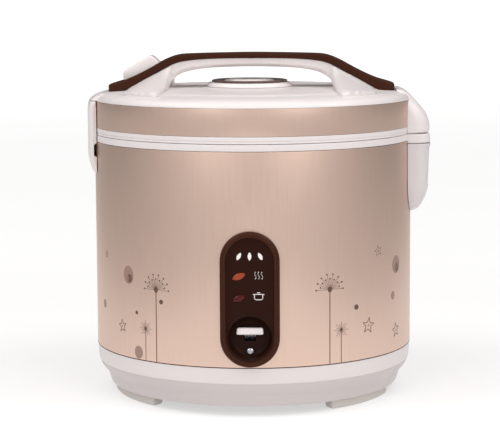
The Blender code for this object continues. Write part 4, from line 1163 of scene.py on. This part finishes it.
def studio():
    """A white floor whose glow evens out the lamps, with a painted pool of light: its colour and glow are
    dimmer to the left and right of the object.
    """
    ground = Nodes("studio_floor")
    vector = ground.place_by_object((1, 1, 1))
    parts = ground.add("ShaderNodeSeparateXYZ")
    ground.link(vector, parts.inputs[0])
    depth = ground.math("MAXIMUM", ground.math("ADD", parts.outputs["Y"], 1.6), 0.1)
    aside = ground.math("DIVIDE", ground.math("ABSOLUTE", parts.outputs["X"]), depth)
    # painted pool of light: the floor's colour and glow fall to half to the left and right
    painted_light_pool = ground.ramp(aside, 1.0, 0.5, (0.17, 0.4))
    patches = ground.ramp(ground.noise(vector, 3.0), 0.50, 0.52)
    tone = ground.add("ShaderNodeCombineColor")
    for key in ("Red", "Green", "Blue"):
        ground.link(ground.math("MULTIPLY", patches, painted_light_pool), tone.inputs[key])
    ground.feed("Base Color", tone.outputs[0])
    away = ground.add("ShaderNodeVectorMath", operation="LENGTH")
    ground.link(vector, away.inputs[0])
    glow = ground.math("MULTIPLY", ground.ramp(away.outputs["Value"], 0.5, 0.97, (0.5, 5.0)), painted_light_pool)
    ground.feed("Emission Strength", glow)
    ground.set(Emission_Color=(1, 1, 1, 1), Roughness=0.9, Specular_IOR_Level=0.0)
    bm = bmesh.new()
    bmesh.ops.create_grid(bm, x_segments=2, y_segments=2, size=60.0)
    floor = add_piece("studio_floor", bm, ground.material, None)
    floor.location.z = -0.0002
    studio_world()
    for name, spot, width, power in (
        ("key", (-1.2, -2.3, 1.2), 1.0, 11.5),
        ("fill", (1.4, -2.2, 1.2), 1.0, 14.0),
        ("high_left", (-1.5, -0.5, 2.0), 1.2, 17.0),
        ("high_right", (1.5, -0.5, 2.0), 1.2, 17.0),
        ("top", (0, -0.1, 2.3), 3.0, 24.0),
    ):
        data = bpy.data.lights.new(name, "AREA")
        data.shape = "SQUARE"
        data.size = width
        data.energy = power
        data.color = (1.0, 0.985, 0.975)
        lamp = bpy.data.objects.new(name, data)
        bpy.context.scene.collection.objects.link(lamp)
        lamp.location = spot
        lamp.rotation_euler = (Vector((0, 0, 0.15)) - Vector(spot)).to_track_quat("-Z", "Y").to_euler()


def studio_world():
    """Soft surroundings, brightest in front of the object and dim behind it."""
    world = bpy.data.worlds.new("studio_world")
    bpy.context.scene.world = world
    world.use_nodes = True
    tree = world.node_tree
    where = tree.nodes.new("ShaderNodeTexCoord")
    parts = tree.nodes.new("ShaderNodeSeparateXYZ")
    tree.links.new(where.outputs["Generated"], parts.inputs[0])
    fade = tree.nodes.new("ShaderNodeMapRange")
    for key, value in (("From Min", -0.55), ("From Max", 0.3), ("To Min", 0.56), ("To Max", 0.11)):
        fade.inputs[key].default_value = value
    tree.links.new(parts.outputs["Y"], fade.inputs["Value"])
    sky = tree.nodes["Background"]
    tree.links.new(fade.outputs["Result"], sky.inputs["Strength"])
    sky.inputs["Color"].default_value = (1.0, 0.985, 0.98, 1.0)


def camera():
    """Metres and degrees: how far off, how far round, and which way it leans."""
    distance, swing, pitch, aside, roll, height = 1.566, 1.3, 7.372, 0.1, -0.3, 0.3384
    data = bpy.data.cameras.new("camera")
    data.sensor_fit = "HORIZONTAL"
    data.sensor_width = 36.0
    data.lens = 136.8
    eye = bpy.data.objects.new("camera", data)
    bpy.context.scene.collection.objects.link(eye)
    turn = math.radians(swing)
    eye.location = (AXIS_X * MM + distance * math.sin(turn), -distance * math.cos(turn), height)
    heading = Matrix.Rotation(math.radians(swing + aside), 4, "Z")
    lean = heading @ Matrix.Rotation(math.radians(90 - pitch), 4, "X")
    eye.rotation_euler = (lean @ Matrix.Rotation(math.radians(roll), 4, "Z")).to_euler()
    bpy.context.scene.camera = eye
    bpy.context.scene.view_settings.view_transform = "Standard"


camera()
studio()
base()
shell()
top_rim()
dew_collector()
lid_shell()
hinge_cover()
vent()
grip()
saddle()
release_button()
latch_clip()
control_panel()
lenses()
lever()
cross_screw("panel_screw", (0, BOWL_BACK, PANEL_SCREW_Z), 3.0, 5.0, 2.0, "Y")
panel_marks()
printed_motif()
pot()
inside()
dress_frame()
